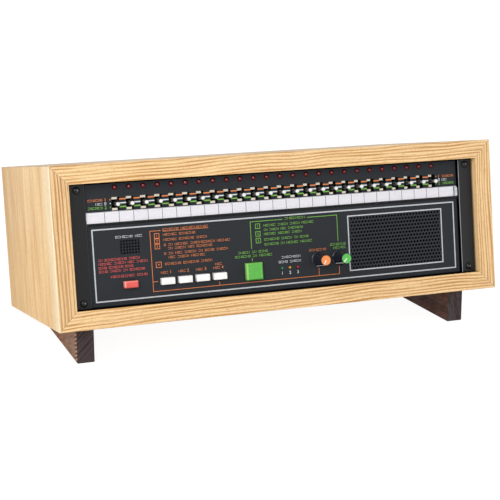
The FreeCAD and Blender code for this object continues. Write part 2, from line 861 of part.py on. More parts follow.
# ---------------------------------------------------------------- knobs
def knob(x, turn):
    """Skirted knob with a waisted body and a pointer fin, and the shaft that it is pressed on."""
    base_y = panel_front - knob_panel_gap
    nut_reach = nut_thickness + nut_clearance
    hollow_radius = nut_across_flats / math.sqrt(3) + nut_clearance
    seat_at = knob_length - knob_cap_seat
    profile = [
        (0, hollow_radius),
        (0, knob_skirt_radius),
        (knob_skirt_thickness, knob_skirt_radius),
        ((knob_waist_at, knob_waist_radius), (knob_length, knob_neck_radius)),
        (knob_length, knob_cap_radius),
        (seat_at, knob_cap_radius),
        (seat_at, 0),
        (shaft_grip, 0),
        (shaft_grip, shaft_radius),
        (nut_reach, shaft_radius),
        (nut_reach, hollow_radius),
    ]
    body = turned(profile, Vector(x, base_y, knob_z), FRONT)
    fin_root = knob_cap_radius + knob_fin_cap_gap
    fin_outline = [
        (knob_skirt_thickness, hollow_radius),
        (knob_skirt_thickness, knob_skirt_radius - knob_fin_inset),
        (knob_length, knob_neck_radius),
        (knob_length, fin_root),
        (nut_reach, fin_root),
        (nut_reach, hollow_radius),
    ]
    fin_side = x - knob_fin_width / 2
    fin = prism(
        [Vector(fin_side, base_y - along, knob_z - radius) for along, radius in fin_outline],
        Vector(knob_fin_width, 0, 0),
    )
    fin.rotate(Vector(x, 0, knob_z), BACK, turn)
    shaft_end = panel_back + pot_depth - pot_end_wall - pot_shaft_end_gap
    shaft_front = base_y - shaft_grip
    shaft = rod(Vector(x, shaft_front, knob_z), BACK, shaft_end - shaft_front, shaft_radius)
    return [body.fuse(fin).removeSplitter(), shaft]


def knob_cap(x, turn):
    """Coloured disc in the knob's end, dished inside its rim, with a raised pointer."""
    seat_y = panel_front - knob_panel_gap - knob_length + knob_cap_seat
    dish_radius = knob_cap_radius - knob_cap_rim
    dish_at = knob_cap_thickness - knob_cap_dish
    profile = [
        (0, 0),
        (0, knob_cap_radius),
        (knob_cap_thickness, knob_cap_radius),
        (knob_cap_thickness, dish_radius),
        (dish_at, dish_radius),
        (dish_at, 0),
    ]
    disc = turned(profile, Vector(x, seat_y, knob_z), FRONT)
    pointer = block(
        centred(x, pointer_width),
        (seat_y - knob_cap_thickness, seat_y - dish_at),
        (knob_z - dish_radius, knob_z),
    )
    pointer.rotate(Vector(x, 0, knob_z), BACK, turn)
    return disc.fuse(pointer).removeSplitter()


def potentiometer(x):
    """Control behind the panel with a threaded bushing through it, and the nut that holds it."""
    nut_front = panel_front - nut_thickness
    bore_end = panel_back + pot_depth - pot_end_wall
    case = rod(Vector(x, panel_back, knob_z), BACK, pot_depth, pot_radius)
    bushing = rod(Vector(x, nut_front, knob_z), BACK, panel_back - nut_front, bushing_radius)
    bore = rod(Vector(x, nut_front, knob_z), BACK, bore_end - nut_front, shaft_radius + shaft_play)
    corner_radius = nut_across_flats / math.sqrt(3)
    corners = []
    for corner in range(6):
        turn = math.radians(60 * corner)
        corners.append(
            Vector(x + corner_radius * math.cos(turn), nut_front, knob_z + corner_radius * math.sin(turn))
        )
    nut = prism(corners, Vector(0, nut_thickness, 0))
    nut = drilled(nut, [rod(Vector(x, nut_front, knob_z), BACK, nut_thickness, bushing_radius)])
    return [case.fuse(bushing).cut(bore).removeSplitter(), nut]


# ---------------------------------------------------------------- lower panel
def knob_places():
    return (knob_first_x, knob_first_x + knob_pitch)


def level_lamp_places():
    return [(x, level_lamp_z) for x in row(level_lamp_count, level_lamp_pitch, level_lamp_x)]


def grille_holes():
    """Staggered rows of round holes, the short rows set half a pitch in."""
    holes = []
    for number, z in enumerate(row(grille_rows, grille_row_pitch, grille_z)):
        columns = grille_columns - number % 2
        for x in row(columns, grille_column_pitch, grille_middle_x):
            holes.append(round_hole(x, z, grille_hole_radius))
    return holes


def mic_holes():
    """A square grid of small holes over the microphone."""
    holes = []
    for z in row(mic_rows, mic_hole_pitch, mic_z):
        for x in row(mic_columns, mic_hole_pitch, mic_middle_x):
            holes.append(round_hole(x, z, mic_hole_radius))
    return holes


def control_panel():
    """Lower panel with its grille, microphone holes, buttons, lamps and knob holes."""
    z_range = (stack_bottom, seam_z - panel_seam)
    holes = panel_screw_holes(*z_range) + grille_holes() + mic_holes()
    holes += [button.panel_hole() for button in buttons().values()]
    holes += [round_hole(x, z, level_lamp_radius + lamp_play) for x, z in level_lamp_places()]
    holes += [round_hole(x, knob_z, bushing_radius + bushing_play) for x in knob_places()]
    return plate(centred(0, rack_panel_width), z_range, panel_front, panel_thickness, holes)


def ellipse(y, half_width, half_height):
    """An oval outline round the loudspeaker's axis."""
    centre = Vector(grille_middle_x, y, grille_z)
    curve = Part.Ellipse(centre + ACROSS * half_width, centre + UP * half_height, centre)
    return Part.Wire(curve.toShape())


def loudspeaker():
    """Oval loudspeaker: flange on the panel's back, hollow cone basket and magnet."""
    flange_back = panel_back + speaker_flange_thickness
    basket_back = flange_back + speaker_basket_depth
    half_width = speaker_width / 2 - speaker_cone_margin
    half_height = speaker_height / 2 - speaker_cone_margin
    flange = block(
        centred(grille_middle_x, speaker_width), (panel_back, flange_back), centred(grille_z, speaker_height)
    )
    basket = Part.makeLoft(
        [
            ellipse(flange_back, half_width, half_height),
            ellipse(basket_back, speaker_neck_half_width, speaker_neck_half_height),
        ],
        True, True,
    )
    hollow = Part.makeLoft(
        [
            ellipse(panel_back, half_width - speaker_wall, half_height - speaker_wall),
            ellipse(
                basket_back - speaker_wall,
                speaker_neck_half_width - speaker_wall, speaker_neck_half_height - speaker_wall,
            ),
        ],
        True, True,
    )
    magnet = rod(Vector(grille_middle_x, basket_back, grille_z), BACK, magnet_depth, magnet_radius)
    return flange.fuse([basket, magnet]).cut(hollow).removeSplitter()


def microphone():
    """Round capsule on the back of the panel, open towards the holes."""
    front_room = mic_capsule_depth - mic_capsule_wall
    profile = [
        (0, mic_capsule_radius - mic_capsule_wall),
        (0, mic_capsule_radius),
        (mic_capsule_depth, mic_capsule_radius),
        (mic_capsule_depth, 0),
        (front_room, 0),
        (front_room, mic_capsule_radius - mic_capsule_wall),
    ]
    return turned(profile, Vector(mic_middle_x, panel_back, mic_z), BACK)


def circuit_boards():
    """Upper board behind the lever switches and lower board behind the buttons."""
    y_range = (boards_front, boards_front + circuit_board_thickness)
    upper_low = lever_z - switch_height / 2 - upper_board_margin
    upper_high = lamp_z + upper_board_margin
    upper = block(centred(0, 2 * circuit_board_half_length), y_range, (upper_low, upper_high))
    lower = block(
        (-circuit_board_half_length, speaker_edge_x - speaker_board_gap), y_range,
        (stack_bottom + lower_board_end_gap, upper_low - lower_board_end_gap),
    )
    return [upper, lower]


# ---------------------------------------------------------------- the whole intercom
def all_parts():
    """Every part by name, as a list of solids in the upright cabinet's frame."""
    parts = {}
    parts.update(cabinet_boards())
    parts["cabinet_back_panel"] = [back_panel()]
    left_foot = wedge_foot().mirror(Vector(0, 0, 0), ACROSS)
    parts["left_wedge_foot"] = [left_foot]
    parts["right_wedge_foot"] = [wedge_foot()]
    parts["wood_screws"] = foot_screws() + rail_screws() + back_screws()
    parts["rack_rails"] = mirrored_pair(rack_rail())
    parts["trim_rails"] = mirrored_pair(trim_rail())
    parts["panel_screws"] = panel_screws()
    parts["switch_bank_panel"] = [switch_bank_panel()]
    parts["control_panel"] = [control_panel()]
    parts["label_strip_holder"] = [label_holder()]
    parts["label_strip_card"] = [label_card()]
    lamp_row = station_places(lamp_z)
    lever_row = station_places(lever_z)
    parts["station_lamps"] = copies(lamp(station_lamp_radius), lamp_row)
    parts["lamp_holders"] = copies(lamp_holder(), lamp_row)
    parts["lever_switch_bodies"] = copies(lever_switch_body(), lever_row)
    for number, lever in enumerate(copies(station_lever(), lever_row)):
        parts["station_lever_%02d" % (number + 1)] = [lever]
    parts["level_lamps"] = copies(lamp(level_lamp_radius), level_lamp_places())
    parts["push_switch_bodies"] = [button.switch_body() for button in buttons().values()]
    for name, button in buttons().items():
        parts[name] = [button.solid()]
    parts["potentiometers"] = []
    for name, x, turn in zip(("program_knob", "monitor_knob"), knob_places(), pointer_turns):
        parts[name] = knob(x, turn)
        parts[name + "_cap"] = [knob_cap(x, turn)]
        parts["potentiometers"] += potentiometer(x)
    parts["loudspeaker"] = [loudspeaker()]
    parts["microphone_capsule"] = [microphone()]
    parts["circuit_boards"] = circuit_boards()
    parts["terminal_strip"] = terminal_strip()
    return {name: Part.makeCompound(solids) for name, solids in parts.items()}


def seated(parts):
    """The parts tipped back on the feet, and the shift that brings them over the origin."""
    for shape in parts.values():
        shape.rotate(Vector(0, 0, 0), ACROSS, -math.degrees(tilt))
    box = Part.makeCompound(list(parts.values())).optimalBoundingBox(False)
    shift = Vector(-(box.XMin + box.XMax) / 2, -(box.YMin + box.YMax) / 2, -box.ZMin)
    for shape in parts.values():
        shape.translate(shift)
    return parts, shift


def main():
    os.makedirs("parts", exist_ok=True)
    parts, shift = seated(all_parts())
    for name, shape in parts.items():
        shape.exportStep("parts/%s.step" % name)
    print("%d parts; cabinet tipped %.3f degrees; shift %s" % (len(parts), math.degrees(tilt), shift))


if __name__ == "__main__":
    main()
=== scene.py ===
"""Desk intercom console: finishes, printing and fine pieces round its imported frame.

Lengths are in metres. Pieces are drawn in the upright cabinet's own frame: X runs to the right from
the cabinet's middle, Y runs back from the front edges of its boards, and Z runs up from its
underside. Each finished mesh is then tipped back with the cabinet, so its object sits at the
origin, unturned.
"""

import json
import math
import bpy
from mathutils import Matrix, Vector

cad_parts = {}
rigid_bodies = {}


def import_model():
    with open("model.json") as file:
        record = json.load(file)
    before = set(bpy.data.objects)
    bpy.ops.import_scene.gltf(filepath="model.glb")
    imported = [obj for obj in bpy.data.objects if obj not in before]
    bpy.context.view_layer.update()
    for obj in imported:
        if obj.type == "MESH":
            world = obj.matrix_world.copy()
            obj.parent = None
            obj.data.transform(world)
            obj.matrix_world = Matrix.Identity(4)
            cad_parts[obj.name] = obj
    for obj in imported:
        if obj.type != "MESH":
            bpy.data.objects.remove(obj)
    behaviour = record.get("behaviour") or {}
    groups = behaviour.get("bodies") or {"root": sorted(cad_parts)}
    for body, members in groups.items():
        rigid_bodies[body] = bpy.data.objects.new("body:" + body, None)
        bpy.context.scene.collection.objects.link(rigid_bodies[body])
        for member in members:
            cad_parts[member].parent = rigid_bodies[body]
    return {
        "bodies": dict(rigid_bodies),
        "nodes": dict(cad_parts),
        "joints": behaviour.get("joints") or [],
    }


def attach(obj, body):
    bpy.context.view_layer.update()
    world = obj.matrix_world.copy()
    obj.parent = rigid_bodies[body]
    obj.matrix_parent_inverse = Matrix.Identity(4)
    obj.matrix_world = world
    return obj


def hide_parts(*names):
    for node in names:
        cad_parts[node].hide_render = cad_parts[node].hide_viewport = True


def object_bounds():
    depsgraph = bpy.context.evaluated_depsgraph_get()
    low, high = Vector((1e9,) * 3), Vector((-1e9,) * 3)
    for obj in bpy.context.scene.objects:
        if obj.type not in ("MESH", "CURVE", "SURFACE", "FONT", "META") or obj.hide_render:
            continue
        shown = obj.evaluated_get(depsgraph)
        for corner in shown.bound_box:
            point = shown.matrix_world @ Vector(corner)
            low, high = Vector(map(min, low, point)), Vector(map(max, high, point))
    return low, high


bl_info = {
    "name": "Desk Intercom Console",
    "version": (1, 0, 0),
    "blender": (4, 5, 0),
    "location": "3D View > Sidebar > Intercom",
    "description": "Finishes, printing and fine pieces for a desk intercom in an oak cabinet",
    "category": "Object",
}

from functools import reduce

import bmesh
import bpy
from bpy.props import FloatProperty, FloatVectorProperty, PointerProperty
from mathutils import Matrix, Vector

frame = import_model()
CAD_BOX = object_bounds()
MM = 0.001
BLACK = (0, 0, 0)
WHITE = (1, 1, 1)


# ---------------------------------------------------------------- places read from the frame
def joint(name):
    """One of the frame's joints, by its name."""
    return next(found for found in frame["joints"] if found["name"] == name)


def cabinet_matrix():
    """The move that tips the upright cabinet back and sets it down on its feet."""
    press = Vector(joint("talk_button_press")["axis"])
    tip = Matrix.Rotation(math.atan2(press.z, press.y), 4, "X")
    level = tip.inverted()
    points = [level @ vertex.co for vertex in frame["nodes"]["cabinet_bottom_board"].data.vertices]
    front = min(point.y for point in points)
    underside = min(point.z for point in points)
    return tip @ Matrix.Translation((0, front, underside))


CABINET = cabinet_matrix()
UPRIGHT = CABINET.inverted()


class Box:
    """A node's lowest and highest corner, middle and half size in the upright cabinet's frame."""

    def __init__(self, node):
        points = [UPRIGHT @ vertex.co for vertex in frame["nodes"][node].data.vertices]
        self.low = Vector([min(point[axis] for point in points) for axis in range(3)])
        self.high = Vector([max(point[axis] for point in points) for axis in range(3)])
        self.middle = (self.low + self.high) / 2
        self.half = (self.high - self.low) / 2


def trim_edges():
    """X of the trim rails' edges nearest the console's middle."""
    sides = [(UPRIGHT @ vertex.co).x for vertex in frame["nodes"]["trim_rails"].data.vertices]
    return max(x for x in sides if x < 0), min(x for x in sides if x > 0)


def pivot(name):
    """Where a joint turns, in the upright cabinet's frame."""
    return UPRIGHT @ Vector(joint(name)["pos_m"])


STATIONS = [name for name in frame["bodies"] if name.startswith("station_lever_")]
SOURCE_BUTTONS = ["source_button_1", "source_button_2", "source_button_3", "all_rooms_button"]
KNOBS = ["program_knob", "monitor_knob"]
BOARDS = {"top": "x", "bottom": "x", "left": "z", "right": "z"}
TOP_BOARD = Box("cabinet_top_board")
PANEL = Box("control_panel")
SWITCH_PANEL = Box("switch_bank_panel")
FACE_Y = PANEL.low.y


# ---------------------------------------------------------------- colours and sizes
def paint(code):
    """A colour written as six hexadecimal digits, as the linear values that shaders take."""
    shares = [int(code[start:start + 2], 16) / 255 for start in (0, 2, 4)]
    return tuple(
        share / 12.92 if share <= 0.04045 else ((share + 0.055) / 1.055) ** 2.4 for share in shares
    )


def hue(label, use, code):
    """A colour that a user may change."""
    return FloatVectorProperty(
        name=label, description=use, subtype="COLOR", min=0, max=1, default=paint(code)
    )


def span(label, use, millimetres):
    """A length that a user may change."""
    return FloatProperty(
        name=label, description=use, unit="LENGTH", subtype="DISTANCE",
        min=0, precision=5, default=millimetres * MM,
    )


class IntercomColours(bpy.types.PropertyGroup):
    """Colours of the console's finishes."""

    oak: hue("Oak", "Pale wood between the streaks of the front edges", "f5d3a0")
    oak_streak: hue("Oak streak", "Dark streaks of the front edges", "b57c3c")
    left_stain: hue("Left stain", "Darkens the left board's front edge", "f0eeee")
    # painted shade: darkens the veneer towards the back
    rear_stain: hue("Rear stain", "Darkens the veneer towards the back", "e9e1d4")
    veneer: hue("Veneer", "Pale veneer on the cabinet's sides", "ffdfa5")
    veneer_streak: hue("Veneer streak", "Quiet streaks in the veneer", "d8964f")
    veneer_front: hue("Veneer front", "Paler veneer close behind the front edges", "fff0cc")
    # painted light and painted shade on the boards' inner sides
    reveal: hue("Reveal", "Boards' inner sides in front of the trim", "ffc676")
    blackened: hue("Blackened oak", "Boards' inner sides from the trim back", "080604")
    # painted sheen: greys the cabinet's top as a grazing reflection would
    weathered: hue("Weathered top", "Greyed lacquer on the cabinet's top", "8c7b6c")
    mitre: hue("Mitre", "Fine joint line between two boards", "6f4a28")
    # painted highlight along the boards' edges
    arris: hue("Arris", "Polished edge where the lacquer wears pale", "fff0d4")
    walnut: hue("Walnut", "Brown of the feet", "5c3426")
    walnut_dark: hue("Dark walnut", "Dark grain of the feet", "241210")
    walnut_outer: hue("Outer walnut", "Paler outer sides of the feet", "a06c48")
    sapwood: hue("Sapwood", "Pale band near the feet's front ends", "8a705a")
    walnut_end: hue("Walnut end grain", "Sawn front ends of the feet", "483e40")
    walnut_nick: hue("Walnut nick", "Pale nicks beside the sawn ends", "b9835f")
    panel: hue("Panel", "Charcoal paint of both panels", "222529")
    trim: hue("Trim", "Black paint of the trim rails and back panel", "17181b")
    # painted highlight along the trim rails' inner edges
    rubbed: hue("Rubbed edge", "Inner edges of the trim rails", "b4b5b8")
    screw: hue("Screw", "Blackened screws", "060607")
    screw_rim: hue("Screw rim", "Worn places on the screws' heads", "1c1e20")
    # painted highlight beside the screws' recesses
    screw_glint: hue("Screw glint", "Bright spot beside the screws' recesses", "c4ccd2")
    silver_ink: hue("Silver ink", "Outlines on the lower panel", "c9cccf")
    white_ink: hue("White ink", "White printing", "e2e6e8")
    orange_ink: hue("Orange ink", "Orange printing", "ea874c")
    green_ink: hue("Green ink", "Green printing", "7fc24a")
    red_ink: hue("Red ink", "Red printing", "ef6058")
    card: hue("Card", "Paper of the label strip", "eeeaee")
    card_cell: hue("Card cell", "Writing spaces on the card", "e8e5ea")
    card_line: hue("Card line", "Lines between the card's cells", "86869a")
    clear: hue("Clear plastic", "Tint of the label holder", "dfe6f0")
    # painted shade along the holder's foot and in the panels' gaps
    clear_foot: hue("Clear foot", "Dark line along the label holder's foot", "080a10")
    lug: hue("Lug", "Cream lugs above and below each lever", "fff4e0")
    lever: hue("Lever", "Lever stems", "2c2e2f")
    # painted highlight on the stems near their tips
    lever_worn: hue("Worn lever", "Lever stems near their tips", "a8aaa9")
    ball: hue("Ball", "White lever tips", "f4f4f2")
    station_lamp: hue("Station lamp", "Dark red lenses over the levers", "6a1014")
    # painted highlight on each lens
    glint: hue("Glint", "Pale spot where a lens gathers the light", "e2959a")
    level_green: hue("Level green", "First level lamp", "1f8a4c")
    level_yellow: hue("Level yellow", "Middle level lamp", "d9a32a")
    level_red: hue("Level red", "Last level lamp", "b3282a")
    white_button: hue("White button", "Source and all-rooms buttons", "fbfaf8")
    red_button: hue("Red button", "Emergency button", "e75b52")
    green_button: hue("Green button", "Press-to-talk button", "5ab445")
    # painted highlights on the buttons' left and upper edges
    red_edge: hue("Red edge", "Lit edges of the emergency button", "ffb0a6")
    green_edge: hue("Green edge", "Lit edges of the talk button", "a5e27c")
    knob: hue("Knob", "Glossy black knobs", "20242f")
    orange_cap: hue("Orange cap", "Programme knob cap", "f9914a")
    green_cap: hue("Green cap", "Monitor knob cap", "55bf4e")
    pointer: hue("Pointer", "White lines on the knobs", "f6f6f4")
    nylon: hue("Nylon", "Switch housings", "0c0c0d")
    zinc: hue("Zinc", "Plated steel", "b9b8b4")
    laminate: hue("Laminate", "Circuit boards", "1f5a34")
    copper: hue("Copper", "Tracks on the circuit boards", "3f7a46")
    cone: hue("Cone", "Paper of the loudspeaker", "060607")
    rubber: hue("Rubber", "Boot of the microphone", "09090a")
    phenolic: hue("Phenolic", "Terminal strip", "241d19")
    floor: hue("Floor", "Plain pale floor", "f4f4f4")


class IntercomSizes(bpy.types.PropertyGroup):
    """Sizes of the console's printing and fine pieces."""

    ink: span("Ink", "How far the printing stands off the panels", 0.05)
    outline: span("Outline", "Width of the lower panel's silver outline", 1.4)
    grille_outline: span("Grille outline", "Width of the silver frame round the grille", 1.3)
    rule: span("Rule", "Width of the coloured lines", 0.55)
    mark: span("Mark", "Height of the coloured marks between the slots", 1.3)
    letter_height: span("Letter height", "Height of the small printing", 2.4)
    stroke: span("Stroke", "Width of the small printing's strokes", 0.36)
    figure_height: span("Figure height", "Height of the printed numbers", 3.4)
    cell_start: span("Cell start", "From the card's left end to its first line", 20.1)
    cell_pitch: span("Cell pitch", "From one line on the card to the next", 16.09)
    cell_line: span("Cell line", "Width of the lines on the card", 0.85)
    slot_margin: span("Slot margin", "From a lever's middle to the marks beside its slot", 4.2)
    lug_proud: span("Lug skin", "How far the cream lugs cover the housing's", 0.06)
    lug_half_width: span("Lug half width", "From a lever's middle to its lugs' sides", 3.7)
    lug_near: span("Lug near", "From a lever's pin up to its lug", 4.706)
    lug_far: span("Lug far", "From a lever's pin up to its lug's far side", 7.156)
    hole_column: span("Hole columns", "From one hole of the grille to the next along its row", 3.98)
    hole_row: span("Hole rows", "From one row of the grille's holes to the next", 4.05)
    # painted shade round the grille's holes
    hole_rim: span("Hole rim", "Radius of the dark rims round the grille's holes", 1.36)
    mic_pitch: span("Microphone holes", "From one of the microphone's holes to the next", 3.23)
    # painted shade round the microphone's holes
    mic_rim: span("Microphone rim", "Radius of the dark rims round the microphone's holes", 1.18)
    screw_head: span("Screw head", "Radius of the front screws' heads", 4.1)
    station_lens: span("Station lens", "Radius of the lamps over the levers", 2.9)
    level_lens: span("Level lens", "Radius of the level lamps", 1.5)
    ball_radius: span("Ball radius", "Lever tips", 2.15)
    stem_root: span("Stem root", "Lever stem's radius at the panel", 2.1)
    stem_neck: span("Stem neck", "Lever stem's radius at the ball", 1.25)
    hub_radius: span("Hub radius", "Lever's hub on its pin", 3.4)
    bore_radius: span("Bore radius", "Hole through the lever's hub", 1.05)
    tail: span("Tail", "Thickness of the lever's tail", 1.6)
    button_edge: span("Button edge", "Rounding of the button caps", 0.8)
    talk_bevel: span("Talk bevel", "Bevel round the talk button", 2.0)
    talk_dish: span("Talk dish", "Depth of the talk button's dish", 0.5)
    flange: span("Flange", "Thickness of each button's flange", 1.2)
    plunger: span("Plunger", "Width of each button's plunger", 4.0)
    skirt: span("Skirt", "Thickness of the knobs' skirts", 1.8)
    waist_radius: span("Waist radius", "Knobs' radius where they draw in", 6.7)
    waist_at: span("Waist height", "From the skirt's foot to the waist", 8.5)
    neck_radius: span("Neck radius", "Knobs' radius at their ends", 6.1)
    hollow_radius: span("Hollow radius", "Hollow under the skirts for the nut", 7.35)
    hollow_depth: span("Hollow depth", "Depth of that hollow", 3.2)
    cap_seat: span("Cap seat", "Depth of the recess for the caps", 1.2)
    cap_rim: span("Cap rim", "Width of the caps' raised rim", 1.3)
    cap_dish: span("Cap dish", "Depth of the caps' dish", 0.3)
    fin: span("Fin", "Width of the pointer fins", 1.4)
    pointer: span("Pointer", "Width of the white lines on the knobs", 1.2)
    shaft_radius: span("Shaft radius", "Knob shafts", 3.0)


def colours():
    """The colours in use."""
    return bpy.context.scene.intercom_colours


def sizes():
    """The sizes in use."""
    return bpy.context.scene.intercom_sizes


# ---------------------------------------------------------------- shader maths
class Wire:
    """One output of a shader node. Arithmetic on wires and numbers adds Math nodes."""

    def __init__(self, nodes, socket):
        self.nodes = nodes
        self.socket = socket

    def math(self, operation, *values):
        """A Math node that works on some values."""
        return self.nodes.node("Math", {"operation": operation}, dict(enumerate(values)))

    def __add__(self, other):
        return self.math("ADD", self, other)

    def __radd__(self, other):
        return self.math("ADD", other, self)

    def __sub__(self, other):
        return self.math("SUBTRACT", self, other)

    def __rsub__(self, other):
        return self.math("SUBTRACT", other, self)

    def __mul__(self, other):
        return self.math("MULTIPLY", self, other)

    def __rmul__(self, other):
        return self.math("MULTIPLY", other, self)

    def __truediv__(self, other):
        return self.math("DIVIDE", self, other)

    def size(self):
        """The number without its sign."""
        return self.math("ABSOLUTE", self)

    def sine(self):
        """The sine of the number."""
        return self.math("SINE", self)

    def most(self, other):
        """The larger of two numbers."""
        return self.math("MAXIMUM", self, other)

    def least(self, other):
        """The smaller of two numbers."""
        return self.math("MINIMUM", self, other)

    def off(self, place):
        """How far a distance in millimetres lies past a place in metres."""
        return self - place / MM

    def wrapped(self, shift, half_period):
        """The number plus a shift, brought between minus and plus half a period."""
        return self.math("WRAP", self + shift, half_period, -half_period)

    def fade(self, start, end):
        """Rises smoothly from 0 at the start to 1 at the end."""
        return self.nodes.node(
            "MapRange", {"interpolation_type": "SMOOTHSTEP"},
            {"Value": self, "From Min": start, "From Max": end},
        )

    def output(self, name):
        """Another output of the same node."""
        return Wire(self.nodes, self.socket.node.outputs[name])


class Nodes:
    """A shader tree that nodes are added to."""

    def __init__(self, tree):
        self.tree = tree

    def node(self, kind, settings=None, sockets=None, output=0):
        """Adds a node: its type, its settings, then the values or wires of its sockets."""
        made = self.tree.nodes.new("ShaderNode" + kind)
        for name, value in (settings or {}).items():
            setattr(made, name, value)
        for name, value in (sockets or {}).items():
            self.feed(made.inputs[name], value)
        return Wire(self, made.outputs[output]) if made.outputs else made

    def feed(self, socket, value):
        """Links a wire to a socket, or sets a value on it."""
        if isinstance(value, Wire):
            self.tree.links.new(value.socket, socket)
        else:
            socket.default_value = value

    def noise(self, first, second, third, detail=2.0):
        """Noise with features one unit across in each of three numbers."""
        place = self.node("CombineXYZ", {}, {0: first, 1: second, 2: third})
        return self.node("TexNoise", {}, {"Vector": place, "Scale": 1.0, "Detail": detail})

    def blend(self, share, first, second, mode="MIX"):
        """A colour between two others."""
        return self.node(
            "Mix", {"data_type": "RGBA", "blend_type": mode},
            {0: share, 6: solid(first), 7: solid(second)}, output=2,
        )


def solid(colour):
    """A colour with its alpha, or the wire that carries one."""
    return colour if isinstance(colour, Wire) else (*colour[:3], 1.0)


def scaled(colour, factor):
    """A colour made lighter or darker by a factor."""
    return tuple(share * factor for share in colour[:3])


class Finish(Nodes):
    """A surface material: its shader, and what varies it from place to place.

    Its x, y and z are a place in the upright cabinet's frame, in millimetres.
    """

    def __init__(self, name, specular=0.5, values=None):
        self.material = bpy.data.materials.new(name)
        self.material.use_nodes = True
        super().__init__(self.material.node_tree)
        self.shader = next(node for node in self.tree.nodes if node.type == "BSDF_PRINCIPLED")
        for socket, value in {"Specular IOR Level": specular, **(values or {})}.items():
            self.set(socket, value)
        upright = self.node("Mapping", {"vector_type": "POINT"}, {
            "Vector": self.node("TexCoord").output("Object"), "Location": UPRIGHT.translation / MM,
            "Rotation": UPRIGHT.to_euler(), "Scale": (1 / MM,) * 3,
        })
        axes = self.node("SeparateXYZ", {}, {0: upright})
        self.x, self.y, self.z = (axes.output(axis) for axis in "XYZ")

    def set(self, socket, value):
        """Gives one of the shader's sockets a value, a colour or a wire."""
        self.feed(self.shader.inputs[socket], solid(value) if "Color" in socket else value)

    def mottle(self, step, detail=2.0):
        """Noise with features of one length, in millimetres, in every direction."""
        return self.noise(self.x / step, self.y / step, self.z / step, detail)

    def layers(self, coat, *layers):
        """A coat with more colours over it, each given by its share and its colour."""
        for share, colour in layers:
            coat = self.blend(share, coat, colour)
        return coat

    def done(self, coat, roughness, relief=None, depth=0.0):
        """The material, with its colour, its roughness and a relief from 0 to 1.

        The depth of the relief is in millimetres.
        """
        self.set("Base Color", coat)
        self.set("Roughness", roughness)
        if relief is not None:
            self.set("Normal", self.node("Bump", {}, {"Distance": depth * MM, "Height": relief}))
        return self.material


# ---------------------------------------------------------------- wood
def oak(along):
    """Lacquered oak with its grain along X or Z: a streaked solid edge in front of quieter veneer.

    Inside, the boards carry painted light in front of the trim, and painted shade from just ahead
    of it back.
    """
    tone = colours()
    finish = Finish("oak_along_" + along, specular=0.2)
    x, y, z = finish.x, finish.y, finish.z
    level = along == "x"
    run, across, slant = (x, z, -0.025) if level else (z, x, 0.01)
    painted_from = 1.6 if level else 7.3
    sway = finish.noise(run / 150, across / 50, 0.5) - 0.5
    strand = across + sway * 12 + run * slant
    leaf = y + sway * 9
    behind_edge = y.fade(0.5, 1.1)
    edge, streak = oak_edge(finish, run, strand, ripe=0.3 if level else 0.5)
    if not level:
        edge = finish.blend(1 - x.fade(-1, 1), edge, tone.left_stain, "MULTIPLY")
    pores = finish.noise(strand / 0.9 + leaf / 0.9, run / 3.2, 4.5).fade(0.48, 0.74)
    from_side = TOP_BOARD.high.x / MM - x.size()
    half_height = TOP_BOARD.high.z / MM / 2
    off_mitre = from_side - (half_height - (z - half_height).size())
    gap = 1 - off_mitre.size().fade(0.12, 0.4)
    # painted highlight: a pale line beside each mitre
    shine = 1 - (off_mitre - 0.7).size().fade(0.12, 0.45)
    thickness = (TOP_BOARD.high.z - TOP_BOARD.low.z) / MM
    within = (from_side - off_mitre.most(0)).fade(thickness - 0.4, thickness - 0.1)
    outer_arris = (1 - from_side.fade(0.4, 1.0)) * (1 - behind_edge)
    wood = finish.layers(
        edge,
        (behind_edge, oak_veneer(finish, run, across, leaf)),
        (pores * 0.36, tone.oak_streak),
        # painted highlight beside the mitres
        (shine * 0.5, tone.arris),
        (gap * 0.8, tone.mitre),
        # painted light on the inner sides, then painted shade behind it
        (within * 0.8, tone.reveal),
        (within * y.fade(painted_from, painted_from + 1), tone.blackened),
        # painted highlight along the outer arrises
        (outer_arris * 0.85, tone.arris),
    )
    return finish.done(wood, 0.45 + streak * 0.12, 1 - pores * 0.6 - streak * 0.3 - gap, 0.06)


def oak_edge(finish, run, strand, ripe):
    """Colour of the solid front edges, and how far each place lies in a dark streak.

    Streaks are ripe by a least share, and more so in patches.
    """
    depth = finish.y / 30
    loose = finish.noise(strand / 4.5, run / 240, depth)
    beat = (strand * 1.75 + loose * 7).sine().fade(-0.7, 1.0)
    patch = finish.noise(run / 60, strand / 3, depth).fade(0.28, 0.62)
    fine = finish.noise(strand / 0.8, run / 45, depth).fade(0.45, 0.72)
    streak = (beat * (ripe + patch * (1 - ripe))).most(fine * 0.45) * 0.9
    return finish.blend(streak, colours().oak, colours().oak_streak), streak


def oak_veneer(finish, run, across, leaf):
    """Colour of the veneer: paler behind the front edges, with painted shade to the back and a
    painted grey sheen on the top.
    """
    tone = colours()
    quiet = finish.noise(leaf / 2.6, run / 80, across / 60, 4.0).fade(0.4, 0.64)
    wide = finish.noise(leaf / 26, run / 150, 2.5).fade(0.44, 0.66)
    band = finish.noise(leaf / 8, run / 220, 7.5).fade(0.4, 0.66)
    face = finish.blend(quiet * 0.36 + wide * 0.24 + band * 0.2, tone.veneer, tone.veneer_streak)
    face = finish.blend((1 - finish.y.fade(8, 50)) * 0.55, face, tone.veneer_front)
    # painted shade, darker towards the back
    face = finish.blend(finish.y.fade(110, 300), face, tone.rear_stain, "MULTIPLY")
    # painted sheen: a grey reflection over the top
    on_top = finish.z.off(TOP_BOARD.high.z).fade(-0.25, -0.1)
    return finish.blend(on_top * 0.6, face, tone.weathered)


